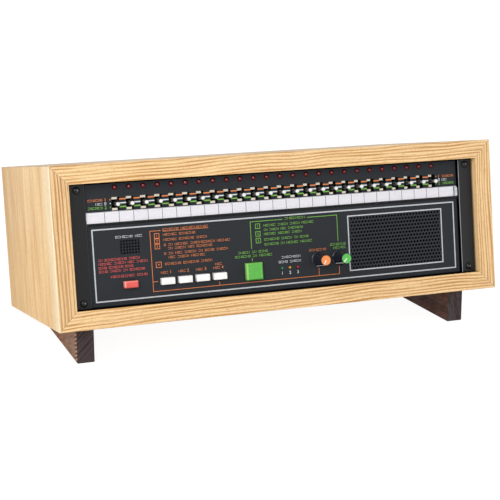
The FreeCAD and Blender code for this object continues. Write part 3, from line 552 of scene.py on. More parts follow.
def walnut():
    """Oiled walnut: long grain on the sides, paler outside, with sawn and nicked front ends."""
    tone = colours()
    finish = Finish("walnut", specular=0.3)
    x, y, z = finish.x, finish.y, finish.z
    foot = Box("right_wedge_foot")
    plumb = CABINET[2][1] / CABINET[2][2]
    depth = y.off(foot.low.y) - z * plumb
    sway = finish.noise(y / 40, z / 14, x / 30) - 0.5
    grain = finish.noise((z + sway * 9 + y * 0.1) / 2.3, y / 46, x / 20, 4.0).fade(0.38, 0.64)
    cloud = finish.noise(y / 22, z / 9, x / 12).fade(0.35, 0.7)
    shade = grain * 0.6 + cloud * 0.3
    vein = 1 - (z - y * 0.15 + sway * 8 + 31).size().fade(0.8, 3.0)
    inner = finish.blend(shade.most(vein * 0.95), tone.walnut, tone.walnut_dark)
    outer = finish.blend(shade, tone.walnut_outer, tone.walnut)
    sapwood = 1 - (depth + sway * 14).fade(58, 66)
    outer = finish.blend(sapwood * (0.75 - grain * 0.35), outer, tone.sapwood)
    tooth = (z * 1.35 + depth * 0.25).sine().fade(-0.5, 0.1)
    nicked = finish.blend(tooth, tone.walnut_dark, tone.walnut_nick)
    outer = finish.blend(1 - depth.fade(8, 13), outer, nicked)
    outside = x.size().off(foot.middle.x).fade(4, 9)
    slope = x.fade(-1, 1) * 1.25 - 1
    hatch = finish.noise((x + z * slope) / 0.95, (x - z) / 14, 7.5).fade(0.38, 0.6)
    end = finish.blend(hatch * 0.85, tone.walnut_end, tone.walnut_dark)
    behind = depth.fade(0.25, 0.8)
    wood = finish.blend(behind, end, finish.blend(outside, inner, outer))
    return finish.done(wood, 0.6 + cloud * 0.15, 1 - grain * 0.4 - hatch * (1 - behind), 0.12)


# ---------------------------------------------------------------- paint and screws
def paint_coat(finish, colour, lift):
    """Speckled paint whose specks are lighter by a lift: its colour, its specks and its clouds."""
    speck = finish.mottle(0.3)
    cloud = finish.noise(finish.x / 70, finish.y / 70, finish.z / 50)
    share = speck.fade(0.35, 0.7) * 0.5 + cloud.fade(0.3, 0.7) * 0.5
    return finish.blend(share, colour, scaled(colour, 1 + lift)), speck, cloud


def enamel(name, colour, lift, gloss, on_front=False):
    """Fine-textured baked paint; on the front's panels it has painted shade and a paler grille."""
    finish = Finish(name, specular=0.22)
    coat, speck, cloud = paint_coat(finish, colour, lift)
    roughness = 1 - gloss + cloud * 0.1
    if on_front:
        # painted shade: black and metallic there, so that it gives no reflection
        painted_shade = unlit_front(finish)
        brightened = perforated(finish), scaled(colour, 1.65)
        coat = finish.layers(coat, brightened, (painted_shade * 0.97, BLACK))
        roughness = roughness.most(painted_shade)
        finish.set("Metallic", painted_shade)
    return finish.done(coat, roughness, speck, 0.02)


def unlit_front(finish):
    """Painted shade: 1 behind the panels' faces, in and round their holes, and along boards and
    rails.
    """
    x, y, z = finish.x, finish.y, finish.z
    left_rail, right_rail = trim_edges()
    size = sizes()
    grille_pitch = (size.hole_column, size.hole_row)
    return reduce(Wire.most, [
        y.off(FACE_Y).fade(0.1, 0.3),
        z.off(SWITCH_PANEL.high.z).fade(-1.5, -0.5),
        1 - z.off(PANEL.low.z).fade(0.4, 1.0),
        rims(finish, "loudspeaker", grille_pitch, (14.5, 7.5), size.hole_rim, staggered=True),
        rims(finish, "microphone_capsule", (size.mic_pitch,) * 2, (3.5, 2.5), size.mic_rim),
        (1 - x.off(left_rail).fade(0.6, 1.1)) * 0.8,
        x.off(right_rail).fade(-2.0, -1.5) * 0.93,
    ])


def perforated(finish):
    """How far the paint is paler on the punched field of the loudspeaker's grille."""
    field = Box("loudspeaker")
    off_x = finish.x.off(field.middle.x).size().off(field.half.x)
    off_z = finish.z.off(field.middle.z).size().off(field.half.z)
    return (1 - off_x.most(off_z).fade(-4.0, -3.0)) * 0.5


def rims(finish, behind, pitch, half_counts, rim, staggered=False):
    """Painted shade: 1 within a rim's radius of each hole in front of a node.

    The field of holes is given by its pitch across and up, and half its count of columns and rows.
    """
    middle = Box(behind).middle
    column, row, reach = pitch[0] / MM, pitch[1] / MM, rim / MM
    off_x, off_z = finish.x.off(middle.x), finish.z.off(middle.z)
    shifts = ((column / 2, 0.0), (0.0, row)) if staggered else ((0.0, 0.0),)
    half_period = row * len(shifts) / 2
    nearest = reduce(Wire.least, [
        squares(off_x.wrapped(shift_x, column / 2), off_z.wrapped(shift_z, half_period))
        for shift_x, shift_z in shifts
    ])
    beyond = (off_x.size() - column * half_counts[0]).most(off_z.size() - row * half_counts[1])
    return (1 - nearest.fade((reach - 0.1) ** 2, (reach + 0.1) ** 2)) * (1 - beyond.fade(0, 0.1))


def squares(across, up):
    """The sum of two squares."""
    return across * across + up * up


def from_screws(finish):
    """How far a place lies across and up from the middle of the front screw nearest to it."""
    heads = Box("panel_screws")
    head_radius = sizes().screw_head
    column, rise = (heads.high.x - head_radius) / MM, (heads.half.z - head_radius) / MM
    up = finish.z.off(heads.middle.z)
    return finish.x - (finish.x.fade(-1, 1) * 2 - 1) * column, up - (up.fade(-1, 1) * 2 - 1) * rise


def screw_black():
    """Blackened screw heads, each with painted shade in its recess and a painted highlight beside
    it.
    """
    tone = colours()
    finish = Finish("screw_black", specular=0.3)
    across, up = from_screws(finish)
    cloud = finish.mottle(1.5)
    # painted shade in the recess
    recess = 1 - squares(across, up).fade(1.0, 3.4)
    # painted highlight beside the recess
    glint = 1 - squares(across - 0.9, up - 0.1).fade(0.1, 0.8)
    coat = finish.layers(
        tone.screw_rim, (cloud * 0.6, tone.screw), (recess, BLACK), (glint * 0.75, tone.screw_glint)
    )
    return finish.done(coat, 0.16 + cloud * 0.08)


def rail_paint():
    """Black paint of the trim rails.

    It has a painted highlight along their inner front edges, mostly on the right,
    and painted shade round the screws and along their inner sides.
    """
    tone = colours()
    finish = Finish("trim_black", specular=0.3)
    coat, speck, cloud = paint_coat(finish, tone.trim, 0.35)
    on_right = finish.x.fade(-1, 1)
    off_front = finish.y.off(Box("trim_rails").low.y).fade(0.3, 0.9)
    off_inner = finish.x.size().off(min(abs(edge) for edge in trim_edges()))
    # painted highlight along the inner front edges, stronger on the right
    rubbed = (1 - off_inner.fade(0.25, 0.7)) * (1 - off_front) * (0.15 + on_right * 0.75)
    # painted shade on the rails' inner sides
    painted_shade = (1 - off_inner.fade(0.02, 0.1)) * off_front
    ring_inner = sizes().screw_head / MM + 0.5
    # painted shade round each screw head
    screw_ring_shade = 1 - squares(*from_screws(finish)).fade(ring_inner ** 2, (ring_inner + 0.4) ** 2)
    coat = finish.layers(
        coat,
        (0.7 - on_right * 0.7, BLACK),
        (rubbed * (0.6 + cloud * 0.5), tone.rubbed),
        ((screw_ring_shade * 0.9).most(painted_shade), BLACK),
    )
    finish.set("Metallic", painted_shade)
    return finish.done(coat, (0.4 + cloud * 0.1).most(painted_shade), speck, 0.02)


def plated(name, roughness):
    """Plated steel with faint clouding and fine scratches."""
    colour = colours().zinc
    finish = Finish(name, values={"Metallic": 1.0})
    cloud = finish.mottle(9, 3.0).fade(0.3, 0.7)
    scratch = finish.noise(finish.x / 0.25, finish.y / 6, finish.z / 6, 1.0).fade(0.55, 0.75)
    coat = finish.blend(cloud * 0.6, colour, scaled(colour, 0.7))
    return finish.done(coat, roughness + cloud * 0.1 + scratch * 0.12)


# ---------------------------------------------------------------- ink, card and circuit boards
def ink(name, colour):
    """Screen-printed ink, thinner in places."""
    finish = Finish(name, specular=0.3)
    thin = finish.noise(finish.x / 1.4, finish.y, finish.z / 1.4, 3.0).fade(0.35, 0.75)
    return finish.done(finish.blend(thin * 0.6, colour, scaled(colour, 0.72)), 0.5 + thin * 0.15)


def paper(name, colour):
    """Card stock with a little fibre."""
    finish = Finish(name, specular=0.2)
    fibre = finish.noise(finish.x / 1.5, finish.y / 1.5, finish.z / 3, 3.0).fade(0.3, 0.75)
    return finish.done(finish.blend(fibre, colour, scaled(colour, 0.97)), 0.75 + fibre * 0.1)


def laminate():
    """Glass-fibre board with copper tracks under its green lacquer."""
    finish = Finish("laminate", values={"Coat Weight": 0.4, "Coat Roughness": 0.2})
    lanes = finish.noise(finish.x / 30, finish.y / 30, finish.z / 1.3, 0.0).fade(0.52, 0.56)
    coat = finish.blend(lanes, colours().laminate, colours().copper)
    return finish.done(coat, 0.4 + finish.mottle(0.5, 1.0) * 0.15, lanes, 0.04)


# ---------------------------------------------------------------- plastics
def plastic(finish, colour):
    """Faintly mottled plastic: its colour and its fine orange peel."""
    mottle = finish.mottle(5, 3.0).fade(0.3, 0.7)
    return finish.blend(mottle, colour, scaled(colour, 0.88)), finish.mottle(0.7, 1.0)


def moulded(name, colour, roughness, specular=0.5, values=None):
    """Moulded plastic: a faint mottle, a faint orange peel and an uneven polish."""
    finish = Finish(name, specular, values)
    coat, peel = plastic(finish, colour)
    return finish.done(coat, roughness + peel * 0.06, peel, 0.006)


def cap_plastic(name, colour, pale, node):
    """Moulded plastic with painted highlights on its left and top edges and painted shade on the
    others.
    """
    box = Box(node)
    finish = Finish(name)
    coat, peel = plastic(finish, colour)
    left = 1 - finish.x.off(box.low.x).fade(1.2, 2.6)
    right = finish.x.off(box.high.x).fade(-2.4, -1.2)
    top = finish.z.off(box.high.z).fade(-2.4, -1.2)
    foot = 1 - finish.z.off(box.low.z).fade(1.2, 2.4)
    # painted highlight on the left and top edges, painted shade on the right and lower ones
    painted_light = (left * (1 - foot)).most(top * 0.5)
    coat = finish.layers(coat, (right.most(foot) * 0.6, scaled(colour, 0.5)), (painted_light * 0.8, pale))
    return finish.done(coat, 0.28 + peel * 0.06, peel, 0.006)


def stem(name, colour, tip_colour, tip_y):
    """Glossy lever moulding, dark at its root, with a painted highlight growing paler towards its
    tip.
    """
    finish = Finish(name, specular=0.6)
    mottle = finish.noise(finish.x / 1.5, finish.y / 3, finish.z / 1.5)
    # painted highlight towards the tip
    brightened = (1 - finish.y.off(tip_y).fade(3.0, 10.0)) * (0.7 + mottle * 0.3)
    return finish.done(finish.blend(brightened, colour, tip_colour), 0.22 + mottle * 0.1)


def lens(name, colour, front, columns, spot):
    """Moulded lenses in a row, with painted shade towards their rims.

    Each has a painted highlight, weaker to the right, of a radius in millimetres.
    """
    finish = Finish(name, specular=0.3)
    # painted shade: darker from the dome's tip back towards its rim
    deep = finish.y.off(front.y).fade(0.0, 1.9)
    cloud = finish.mottle(1.2)
    half_pitch = (columns[1] - columns[0]) / MM / 2
    across = finish.x.wrapped(-columns[0] / MM, half_pitch) + spot * 0.9
    off = squares(across, finish.z.off(front.z) - spot * 0.7)
    # painted highlight on each lens, weaker towards the right
    glint = 1 - off.fade(spot * spot * 0.2, spot * spot * 1.6)
    coat = finish.layers(
        colour,
        (deep * 0.7 + cloud * 0.25, scaled(colour, 0.45)),
        (glint * (0.45 - finish.x * 0.0013), colours().glint),
    )
    return finish.done(coat, 0.07 + cloud * 0.06)


def clear_plastic():
    """Clear extruded plastic.

    It is hazed by handling, with a painted highlight along its top and painted shade along its
    foot.
    """
    tone = colours()
    holder = Box("label_strip_holder")
    finish = Finish("clear_plastic")
    haze = finish.noise(finish.x / 14, finish.y / 3, finish.z / 3, 3.0).fade(0.35, 0.75)
    # painted shade along the foot
    foot = 1 - finish.z.off(holder.low.z).fade(1.1, 1.7)
    # painted highlight along the top
    top = finish.z.off(holder.high.z).fade(-1.0, -0.4)
    end = finish.x.off(Box("label_strip_card").high.x).fade(0.0, 1.0)
    tint = finish.layers(tone.clear, (haze, WHITE), (foot, tone.clear_foot))
    finish.set("Alpha", (0.05 + haze * 0.04).most(foot * 0.8).most(top * 0.45).most(end * 0.6))
    return finish.done(tint, 0.12 + haze * 0.12)


# ---------------------------------------------------------------- shapes
def block(low, high, rounding=0.0, steps=3):
    """A box between two corners, with its edges rounded."""
    shape = bmesh.new()
    low, high = Vector(low), Vector(high)
    place = Matrix.Translation((low + high) / 2) @ Matrix.Diagonal((*(high - low), 1))
    bmesh.ops.create_cube(shape, size=1, matrix=place)
    if rounding:
        soften(shape, shape.edges[:], rounding, steps)
    return shape


def soften(shape, edges, reach, steps):
    """Bevels some edges of a shape."""
    bmesh.ops.bevel(
        shape, geom=edges, offset=reach, offset_type="OFFSET", segments=steps,
        profile=0.5, affect="EDGES", material=-1,
    )


def bent(start, bend, end, steps):
    """Points of a curve from a start to an end, drawn towards a bend."""
    shares = [step / steps for step in range(steps + 1)]
    return [start.lerp(bend, share).lerp(bend.lerp(end, share), share) for share in shares]


def eased(profile, reach, steps=3):
    """A profile with each of its inner corners drawn as a short curve."""
    points = [Vector(point) for point in profile]
    curve = [points[0]]
    for before, corner, after in zip(points, points[1:], points[2:]):
        start = corner + (before - corner).normalized() * reach
        end = corner + (after - corner).normalized() * reach
        curve += bent(start, corner, end, steps)
    return curve + [points[-1]]


def turned(profile, steps, closed=False):
    """A lathe shape round the forward axis; its profile is (distance forward, radius) pairs."""
    shape = bmesh.new()
    rim = [shape.verts.new((radius, -forward, 0)) for forward, radius in profile]
    ends = list(zip(rim, rim[1:])) + ([(rim[-1], rim[0])] if closed else [])
    edges = [shape.edges.new(pair) for pair in ends]
    bmesh.ops.spin(
        shape, geom=rim + edges, cent=(0, 0, 0), axis=(0, 1, 0), angle=math.tau,
        steps=steps, use_merge=True,
    )
    bmesh.ops.remove_doubles(shape, verts=shape.verts, dist=MM / 1000)
    bmesh.ops.recalc_face_normals(shape, faces=shape.faces)
    return shape


def ball(radius, segments, rings):
    """A sphere round the origin."""
    shape = bmesh.new()
    bmesh.ops.create_uvsphere(shape, u_segments=segments, v_segments=rings, radius=radius)
    return shape


def swung(shape, degrees, axis):
    """The shape, turned round one of the axes through the origin."""
    bmesh.ops.rotate(
        shape, verts=shape.verts, cent=(0, 0, 0),
        matrix=Matrix.Rotation(math.radians(degrees), 3, axis),
    )
    return shape


FIGURE_SHARE = 0.7  # of a font's size, taken up by the height of its numbers


def figure(text, height, thickness):
    """A printed number standing upright and facing forward, its middle at the origin."""
    curve = bpy.data.curves.new("figure", "FONT")
    curve.body = text
    curve.size = height / FIGURE_SHARE
    curve.extrude = thickness / 2
    curve.resolution_u = 3
    curve.align_x = "CENTER"
    curve.align_y = "CENTER"
    holder = bpy.data.objects.new("figure", curve)
    mesh = bpy.data.meshes.new_from_object(holder)
    shape = bmesh.new()
    shape.from_mesh(mesh)
    bpy.data.meshes.remove(mesh)
    bpy.data.objects.remove(holder)
    bpy.data.curves.remove(curve)
    return swung(shape, 90, "X")


def linked(name, data):
    """A new object in the scene."""
    made = bpy.data.objects.new(name, data)
    bpy.context.scene.collection.objects.link(made)
    return made


class Piece:
    """A mesh put together from shapes drawn in the upright cabinet's frame."""

    def __init__(self, *finishes):
        self.mesh = bmesh.new()
        self.finishes = finishes

    def add(self, shape, place=(0, 0, 0), finish=0):
        """Sets a shape down at a place, in one of the piece's finishes. The shape is used up."""
        for face in shape.faces:
            face.material_index = finish
        bmesh.ops.translate(shape, verts=shape.verts, vec=place)
        made = bpy.data.meshes.new("shape")
        shape.to_mesh(made)
        shape.free()
        self.mesh.from_mesh(made)
        bpy.data.meshes.remove(made)

    def build(self, name, body, slot=None, nodes=(), sharp=38):
        """Tips the piece back with the cabinet and hands it to the body that carries it."""
        mesh = bpy.data.meshes.new(name)
        self.mesh.transform(CABINET)
        self.mesh.to_mesh(mesh)
        self.mesh.free()
        mesh.shade_smooth()
        mesh.set_sharp_from_angle(angle=math.radians(sharp))
        for finish in self.finishes:
            mesh.materials.append(finish)
        made = linked(name, mesh)
        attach(made, body)
        if nodes:
            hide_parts(*nodes)
        return made


class Printing(Piece):
    """Ink on one of the front's faces."""

    def __init__(self, finish, face_y=FACE_Y):
        super().__init__(finish)
        self.face_y = face_y
        self.thickness = sizes().ink

    def bar(self, x_range, z_range):
        """A filled rectangle."""
        front_y = self.face_y - self.thickness
        (left, right), (low, high) = x_range, z_range
        self.add(block((left, front_y, low), (right, self.face_y, high)))

    def across(self, x_range, z, width):
        """A level line."""
        self.bar(x_range, (z - width / 2, z + width / 2))

    def upright(self, x, z_range, width):
        """An upright line."""
        self.bar((x - width / 2, x + width / 2), z_range)

    def frame(self, x_range, z_range, width):
        """An outline drawn inside a rectangle."""
        (left, right), (low, high) = x_range, z_range
        self.bar(x_range, (low, low + width))
        self.bar(x_range, (high - width, high))
        for x in (left, right - width):
            self.bar((x, x + width), (low + width, high - width))

    def words(self, left, right, z, counts):
        """A line of plain marks in groups, where a console has a line of wording."""
        mark, space = 0.78, 0.85
        pitch = (right - left) / (sum(counts) + space * (len(counts) - 1) - (1 - mark))
        low = z - sizes().letter_height / 2
        x = left
        for count in counts:
            for number in range(count):
                self.sign(number + count, x, x + pitch * mark, low)
                x += pitch
            x += pitch * space

    def sign(self, kind, left, right, low):
        """One plain mark: an open box, two uprights or two level bars."""
        size = sizes()
        high = low + size.letter_height
        stroke = size.stroke
        if kind % 3 < 2:
            self.bar((left, left + stroke), (low, high))
            self.bar((right - stroke, right), (low, high))
        if kind % 3 > 0:
            self.bar((left, right), (low, low + stroke))
            self.bar((left, right), (high - stroke, high))

    def number(self, text, x, z, height):
        """A number round its middle."""
        middle_y = self.face_y - self.thickness / 2
        self.add(figure(text, height, self.thickness), (x, middle_y, z))


def dress(node, finish):
    """Gives a node's own mesh a finish."""
    mesh = frame["nodes"][node].data
    mesh.materials.clear()
    mesh.materials.append(finish)


# ---------------------------------------------------------------- stage
def softbox(name, place, size, power):
    """A large square lamp aimed at the middle of the console."""
    lamp = bpy.data.lights.new(name, "AREA")
    lamp.shape = "SQUARE"
    lamp.size = size
    lamp.energy = power
    made = linked(name, lamp)
    made.location = place
    low, high = CAD_BOX
    aim = Vector((low + high) / 2) - Vector(place)
    made.rotation_euler = aim.to_track_quat("-Z", "Y").to_euler()


def emptied(owner):
    """The shader tree of a world or a material, with nothing in it yet."""
    owner.use_nodes = True
    owner.node_tree.nodes.clear()
    return Nodes(owner.node_tree)


def seen_share(nodes):
    """1 for rays from the camera, a mirror or glass, and 0 for rays that light the object."""
    path = nodes.node("LightPath").output("Is Camera Ray")
    return path.most(path.output("Is Glossy Ray")).most(path.output("Is Transmission Ray"))


class INTERCOM_OT_stage(bpy.types.Operator):
    """Set up the camera, the softboxes, the plain surroundings and the floor"""

    bl_idname = "intercom.stage"
    bl_label = "Stage"

    def execute(self, context):
        self.point_of_view(context)
        softbox("key_softbox", (-1.6, -1.5, 1.4), size=1.2, power=24)
        softbox("front_softbox", (-0.75, -2.1, 0.75), size=0.7, power=10)
        softbox("fill_softbox", (1.7, -1.4, 0.9), size=1.4, power=6)
        softbox("rear_softbox", (0.5, 1.8, 1.4), size=1.4, power=12)
        self.surroundings(context)
        self.floor()
        context.scene.view_settings.view_transform = "Standard"
        return {"FINISHED"}

    def point_of_view(self, context):
        """The camera stands left of the console, looking a little down on its front."""
        place = Vector((-0.52876, -1.33268, 0.18754))
        yaw, pitch, roll = 0.3483, 0.08258, -0.05805
        focal_length, sensor_width = 92.659, 36
        level_right = Vector((math.cos(yaw), -math.sin(yaw), 0))
        forward = Vector(
            (math.sin(yaw) * math.cos(pitch), math.cos(yaw) * math.cos(pitch), -math.sin(pitch))
        )
        level_up = level_right.cross(forward)
        right = level_right * math.cos(roll) + level_up * math.sin(roll)
        up = level_up * math.cos(roll) - level_right * math.sin(roll)
        turn = Matrix((right, up, -forward)).transposed().to_4x4()
        camera = bpy.data.cameras.new("camera")
        camera.sensor_width = sensor_width
        camera.lens = focal_length
        made = linked("camera", camera)
        made.matrix_world = CABINET @ Matrix.Translation(place) @ turn
        context.scene.camera = made

    def surroundings(self, context):
        """White where it is seen or mirrored, and a plain grey light on the object."""
        lighting, showing = 0.5, 1.0
        world = bpy.data.worlds.new("surroundings")
        nodes = emptied(world)
        light = nodes.node("Background", {}, {"Color": solid(WHITE), "Strength": lighting})
        seen = nodes.node("Background", {}, {"Color": solid(WHITE), "Strength": showing})
        mixed = nodes.node("MixShader", {}, {0: seen_share(nodes), 1: light, 2: seen})
        nodes.node("OutputWorld", {}, {"Surface": mixed})
        context.scene.world = world

    def floor(self):
        """A plain pale floor that blends into the surroundings and keeps the console's shadow."""
        half_width, glow, glow_share = 12, 1.15, 0.82
        shape = bmesh.new()
        bmesh.ops.create_grid(shape, x_segments=1, y_segments=1, size=half_width)
        mesh = bpy.data.meshes.new("floor")
        shape.to_mesh(mesh)
        shape.free()
        material = bpy.data.materials.new("floor")
        nodes = emptied(material)
        matt = nodes.node("BsdfDiffuse", {}, {"Color": solid(colours().floor)})
        white = nodes.node("Emission", {}, {"Color": solid(WHITE), "Strength": glow})
        mixed = nodes.node("MixShader", {}, {0: seen_share(nodes) * glow_share, 1: matt, 2: white})
        nodes.node("OutputMaterial", {}, {"Surface": mixed})
        mesh.materials.append(material)
        made = linked("floor", mesh)


# ---------------------------------------------------------------- the console's pieces
class INTERCOM_OT_cabinet(bpy.types.Operator):
    """Finish the oak boards and the walnut feet"""

    bl_idname = "intercom.cabinet"
    bl_label = "Cabinet and feet"

    def execute(self, context):
        woods = {along: oak(along) for along in ("x", "z")}
        for side, along in BOARDS.items():
            dress("cabinet_%s_board" % side, woods[along])
        dark = walnut()
        dress("left_wedge_foot", dark)
        dress("right_wedge_foot", dark)
        return {"FINISHED"}


class INTERCOM_OT_front_metal(bpy.types.Operator):
    """Finish the two panels, the trim rails and the front screws"""

    bl_idname = "intercom.front_metal"
    bl_label = "Panels and trim"

    def execute(self, context):
        charcoal = enamel("panel_charcoal", colours().panel, lift=0.25, gloss=0.4, on_front=True)
        dress("switch_bank_panel", charcoal)
        dress("control_panel", charcoal)
        dress("trim_rails", rail_paint())
        dress("panel_screws", screw_black())
        dress("rack_rails", plated("zinc_steel", 0.35))
        dress("wood_screws", plated("zinc_screw", 0.25))
        return {"FINISHED"}


# ---------------------------------------------------------------- printing
# Rows of marks between the lever slots, in millimetres: how far above the levers' pins, their
# numeral, the marks in their wording, and where that wording starts at the left and right end.
MARK_ROWS = {
    "white": (0.7, "0", 3, -212.4, 203.8),
    "orange": (4.9, "1", 7, -221.0, 204.8),
    "green": (-3.4, "2", 8, -221.0, 204.8),
}
WORDING_END = -205.0 * MM
NUMERAL_COLUMNS = (-201.7 * MM, 200.2 * MM)

# Lines of plain marks, in millimetres: left end, right end, height, and the marks in each group.
LINES = {
    "white": (
        (-193.1, -163.6, 95.4, (7, 3)),
        (-3.1, 19.5, 57.7, (8,)),
        (-6.9, 19.9, 52.5, (4, 5)),
    ),
    "orange": (
        (-140.2, -88.0, 99.7, (7, 12)),
        (-140.0, -103.4, 94.1, (6, 7)),
        (-139.7, -90.2, 88.5, (6, 7, 5)),
        (-139.6, -63.4, 82.9, (1, 2, 6, 11, 6)),
        (-135.1, -84.6, 78.8, (2, 5, 3, 7)),
        (-140.0, -66.6, 73.4, (1, 2, 3, 5, 2, 4, 5)),
        (-135.1, -93.5, 69.0, (3, 5, 6)),
        (-139.5, -85.6, 62.0, (7, 7, 5)),
        (31.0, 51.6, 62.8, (7,)),
    ),
    "green": (
        (3.4, 27.4, 101.2, (8,)),
        (-22.7, 37.8, 95.2, (6, 5, 5, 6)),
        (-22.7, 24.5, 90.3, (2, 5, 3, 8)),
        (-22.7, 22.6, 85.6, (6, 6, 5)),
        (-22.7, 30.6, 79.4, (7, 5, 2, 4)),
        (-22.7, 35.0, 74.0, (7, 2, 6, 6)),
        (-54.8, -19.5, 66.7, (5, 2, 4)),
        (-58.5, -14.4, 62.3, (7, 2, 6)),
        (57.0, 76.2, 67.1, (7,)),
        (60.8, 76.0, 63.2, (6,)),
    ),
    "red": (
        (-213.5, -167.8, 71.8, (2, 10, 5)),
        (-213.5, -159.3, 67.7, (6, 5, 3, 5)),
        (-213.5, -175.5, 63.5, (4, 7, 4)),
        (-213.5, -162.6, 59.5, (4, 5, 2, 7)),
        (-200.7, -160.3, 53.2, (9, 4)),
    ),
}

# Numbered squares, in millimetres: the number, the left and right side, the top and the height.
SQUARES = {
    "orange": (
        ("1", -150.1, -144.3, 96.2, 5.83),
        ("2", -150.1, -144.3, 90.37, 5.83),
        ("3", -150.1, -144.3, 84.54, 5.83),
        ("4", -150.1, -143.7, 65.0, 6.6),
    ),
    "green": (
        ("1", -32.9, -27.0, 97.8, 5.9),
        ("2", -32.9, -27.0, 89.2, 5.9),
        ("3", -32.9, -27.0, 81.7, 5.9),
    ),
}


def corner(label, x, z):
    """X and Z of a corner on the front, given in millimetres, that a user may change."""
    return FloatVectorProperty(
        name=label, description="X and Z of the " + label.lower(), size=2, unit="LENGTH",
        default=(x * MM, z * MM),
    )


class INTERCOM_OT_printing(bpy.types.Operator):
    """Print the lines, marks, plain blocks and numbers on both panels"""

    bl_idname = "intercom.printing"
    bl_label = "Printing"

    outline_low: corner("Silver outline's low corner", -219.1, 26.6)
    outline_high: corner("Silver outline's high corner", 218.0, 105.5)
    grille_low: corner("Grille frame's low corner", 80.0, 34.7)
    grille_high: corner("Grille frame's high corner", 201.5, 98.6)

    def execute(self, context):
        self.silver()
        self.seam()
        extras = {
            "white": self.lamp_numbers, "orange": self.orange_rules, "green": self.green_rules,
        }
        for name, lines in LINES.items():
            sheet = Printing(ink(name + "_ink", getattr(colours(), name + "_ink")))
            if name in MARK_ROWS:
                self.marks(sheet, *MARK_ROWS[name])
            for left, right, z, counts in lines:
                sheet.words(left * MM, right * MM, z * MM, counts)
            for square in SQUARES.get(name, ()):
                self.square(sheet, *square)
            if name in extras:
                extras[name](sheet)
            sheet.build(name + "_printing", "cabinet")
        return {"FINISHED"}

    def silver(self):
        """The outlines of the lower panel and of the grille."""
        sheet = Printing(ink("silver_ink", colours().silver_ink))
        for low, high, width in (
            (self.outline_low, self.outline_high, sizes().outline),
            (self.grille_low, self.grille_high, sizes().grille_outline),
        ):
            sheet.frame((low[0], high[0]), (low[1], high[1]), width)
        sheet.build("silver_outlines", "cabinet")

    def seam(self):
        """Painted shade in the gaps between the two panels and over the emergency button."""
        sheet = Printing(ink("seam_line", colours().clear_foot))
        panel_gap, button_gap, overhang = 1.3 * MM, 1.1 * MM, 0.9 * MM
        sheet.across(trim_edges(), PANEL.high.z - panel_gap / 2, panel_gap)
        low, high = Box("emergency_button").low, Box("emergency_button").high
        sheet.bar((low.x, high.x + overhang), (high.z, high.z + button_gap))
        sheet.build("seam_line", "cabinet")

    def marks(self, sheet, rise, numeral, count, left_start, right_start):
        """Marks between the lever slots, with a tick, a number and wording at each end."""
        size = sizes()
        spots = [pivot(name + "_throw") for name in STATIONS]
        first, last = spots[0], spots[-1]
        z = first.z + rise * MM
        for before, after in zip(spots, spots[1:]):
            sheet.across((before.x + size.slot_margin, after.x - size.slot_margin), z, size.mark)
        near, far = 5.4 * MM, 6.3 * MM
        sheet.across((first.x - far, first.x - near), z, size.mark)
        sheet.across((last.x + near, last.x + far), z, size.mark)
        for column in NUMERAL_COLUMNS:
            sheet.number(numeral, column, z, size.figure_height)
        left, right = left_start * MM, right_start * MM
        sheet.words(left, WORDING_END, z, (count,))
        sheet.words(right, right + (WORDING_END - left) * 0.9, z, (count,))

    def square(self, sheet, number, left, right, top, height):
        """An outlined square with its number, in millimetres."""
        gap_below = 0.2
        sheet.frame((left * MM, right * MM), ((top - height + gap_below) * MM, top * MM), 0.55 * MM)
        sheet.number(number, (left + right) / 2 * MM, (top - height / 2) * MM, 2.6 * MM)

    def lamp_numbers(self, sheet):
        """A number under each level lamp."""
        for number, x in enumerate(level_lamp_columns(), 1):
            sheet.number(str(number), x, 39.7 * MM, sizes().figure_height)

    def orange_rules(self, sheet):
        """Lines from the programme steps to the buttons and knobs, and the buttons' labels."""
        rule = sizes().rule
        half = rule / 2
        rail_x, rail_low, rail_high = -154.6 * MM, 33.0 * MM, 98.9 * MM
        first, last = Box(SOURCE_BUTTONS[0]), Box(SOURCE_BUTTONS[-1])
        knobs = [pivot(name + "_turn") for name in KNOBS]
        knob_foot = Box(KNOBS[0]).low.z
        sheet.upright(rail_x, (rail_low + half, rail_high - half), rule)
        sheet.across((rail_x - half, -142.4 * MM), rail_high, rule)
        sheet.across((rail_x + half, first.low.x - 2.2 * MM), first.middle.z, rule)
        sheet.across((rail_x - half, knobs[-1].x + half), rail_low, rule)
        sheet.upright(last.middle.x, (rail_low + half, last.low.z - 2.0 * MM), rule)
        for spot in knobs:
            sheet.upright(spot.x, (rail_low + half, knob_foot - 0.3 * MM), rule)
        underline = (-140.2 * MM, -88.0 * MM)
        sheet.across(underline, 97.8 * MM, 0.4 * MM)
        z = 52.9 * MM
        for number, name in enumerate(SOURCE_BUTTONS, 1):
            x = Box(name).middle.x
            sheet.words(x - 6.4 * MM, x + 1.4 * MM, z, (3,))
            sheet.number(str(number), x + 4.4 * MM, z, sizes().figure_height)
        x = last.middle.x
        sheet.words(x - 3.7 * MM, x + 3.7 * MM, z + 4.0 * MM, (3,))

    def green_rules(self, sheet):
        """Lines from the intercom steps to the talk button and the monitor knob."""
        rule = sizes().rule
        half = rule / 2
        talk = Box("talk_button")
        rail_x, rail_top = talk.middle.x - 0.6 * MM, 100.4 * MM
        knob_x = pivot("monitor_knob_turn").x
        sheet.upright(rail_x, (70.3 * MM, rail_top + half), rule)
        sheet.across((rail_x + half, 0), rail_top, rule)
        sheet.across((30.3 * MM, knob_x - half), rail_top, rule)
        sheet.upright(knob_x, (70.8 * MM, rail_top + half), rule)
        sheet.upright(rail_x, (talk.high.z + 0.8 * MM, 59.7 * MM), rule)


def level_lamp_columns():
    """X of each of the three level lamps."""
    box = Box("level_lamps")
    radius = box.half.z
    return box.low.x + radius, box.middle.x, box.high.x - radius


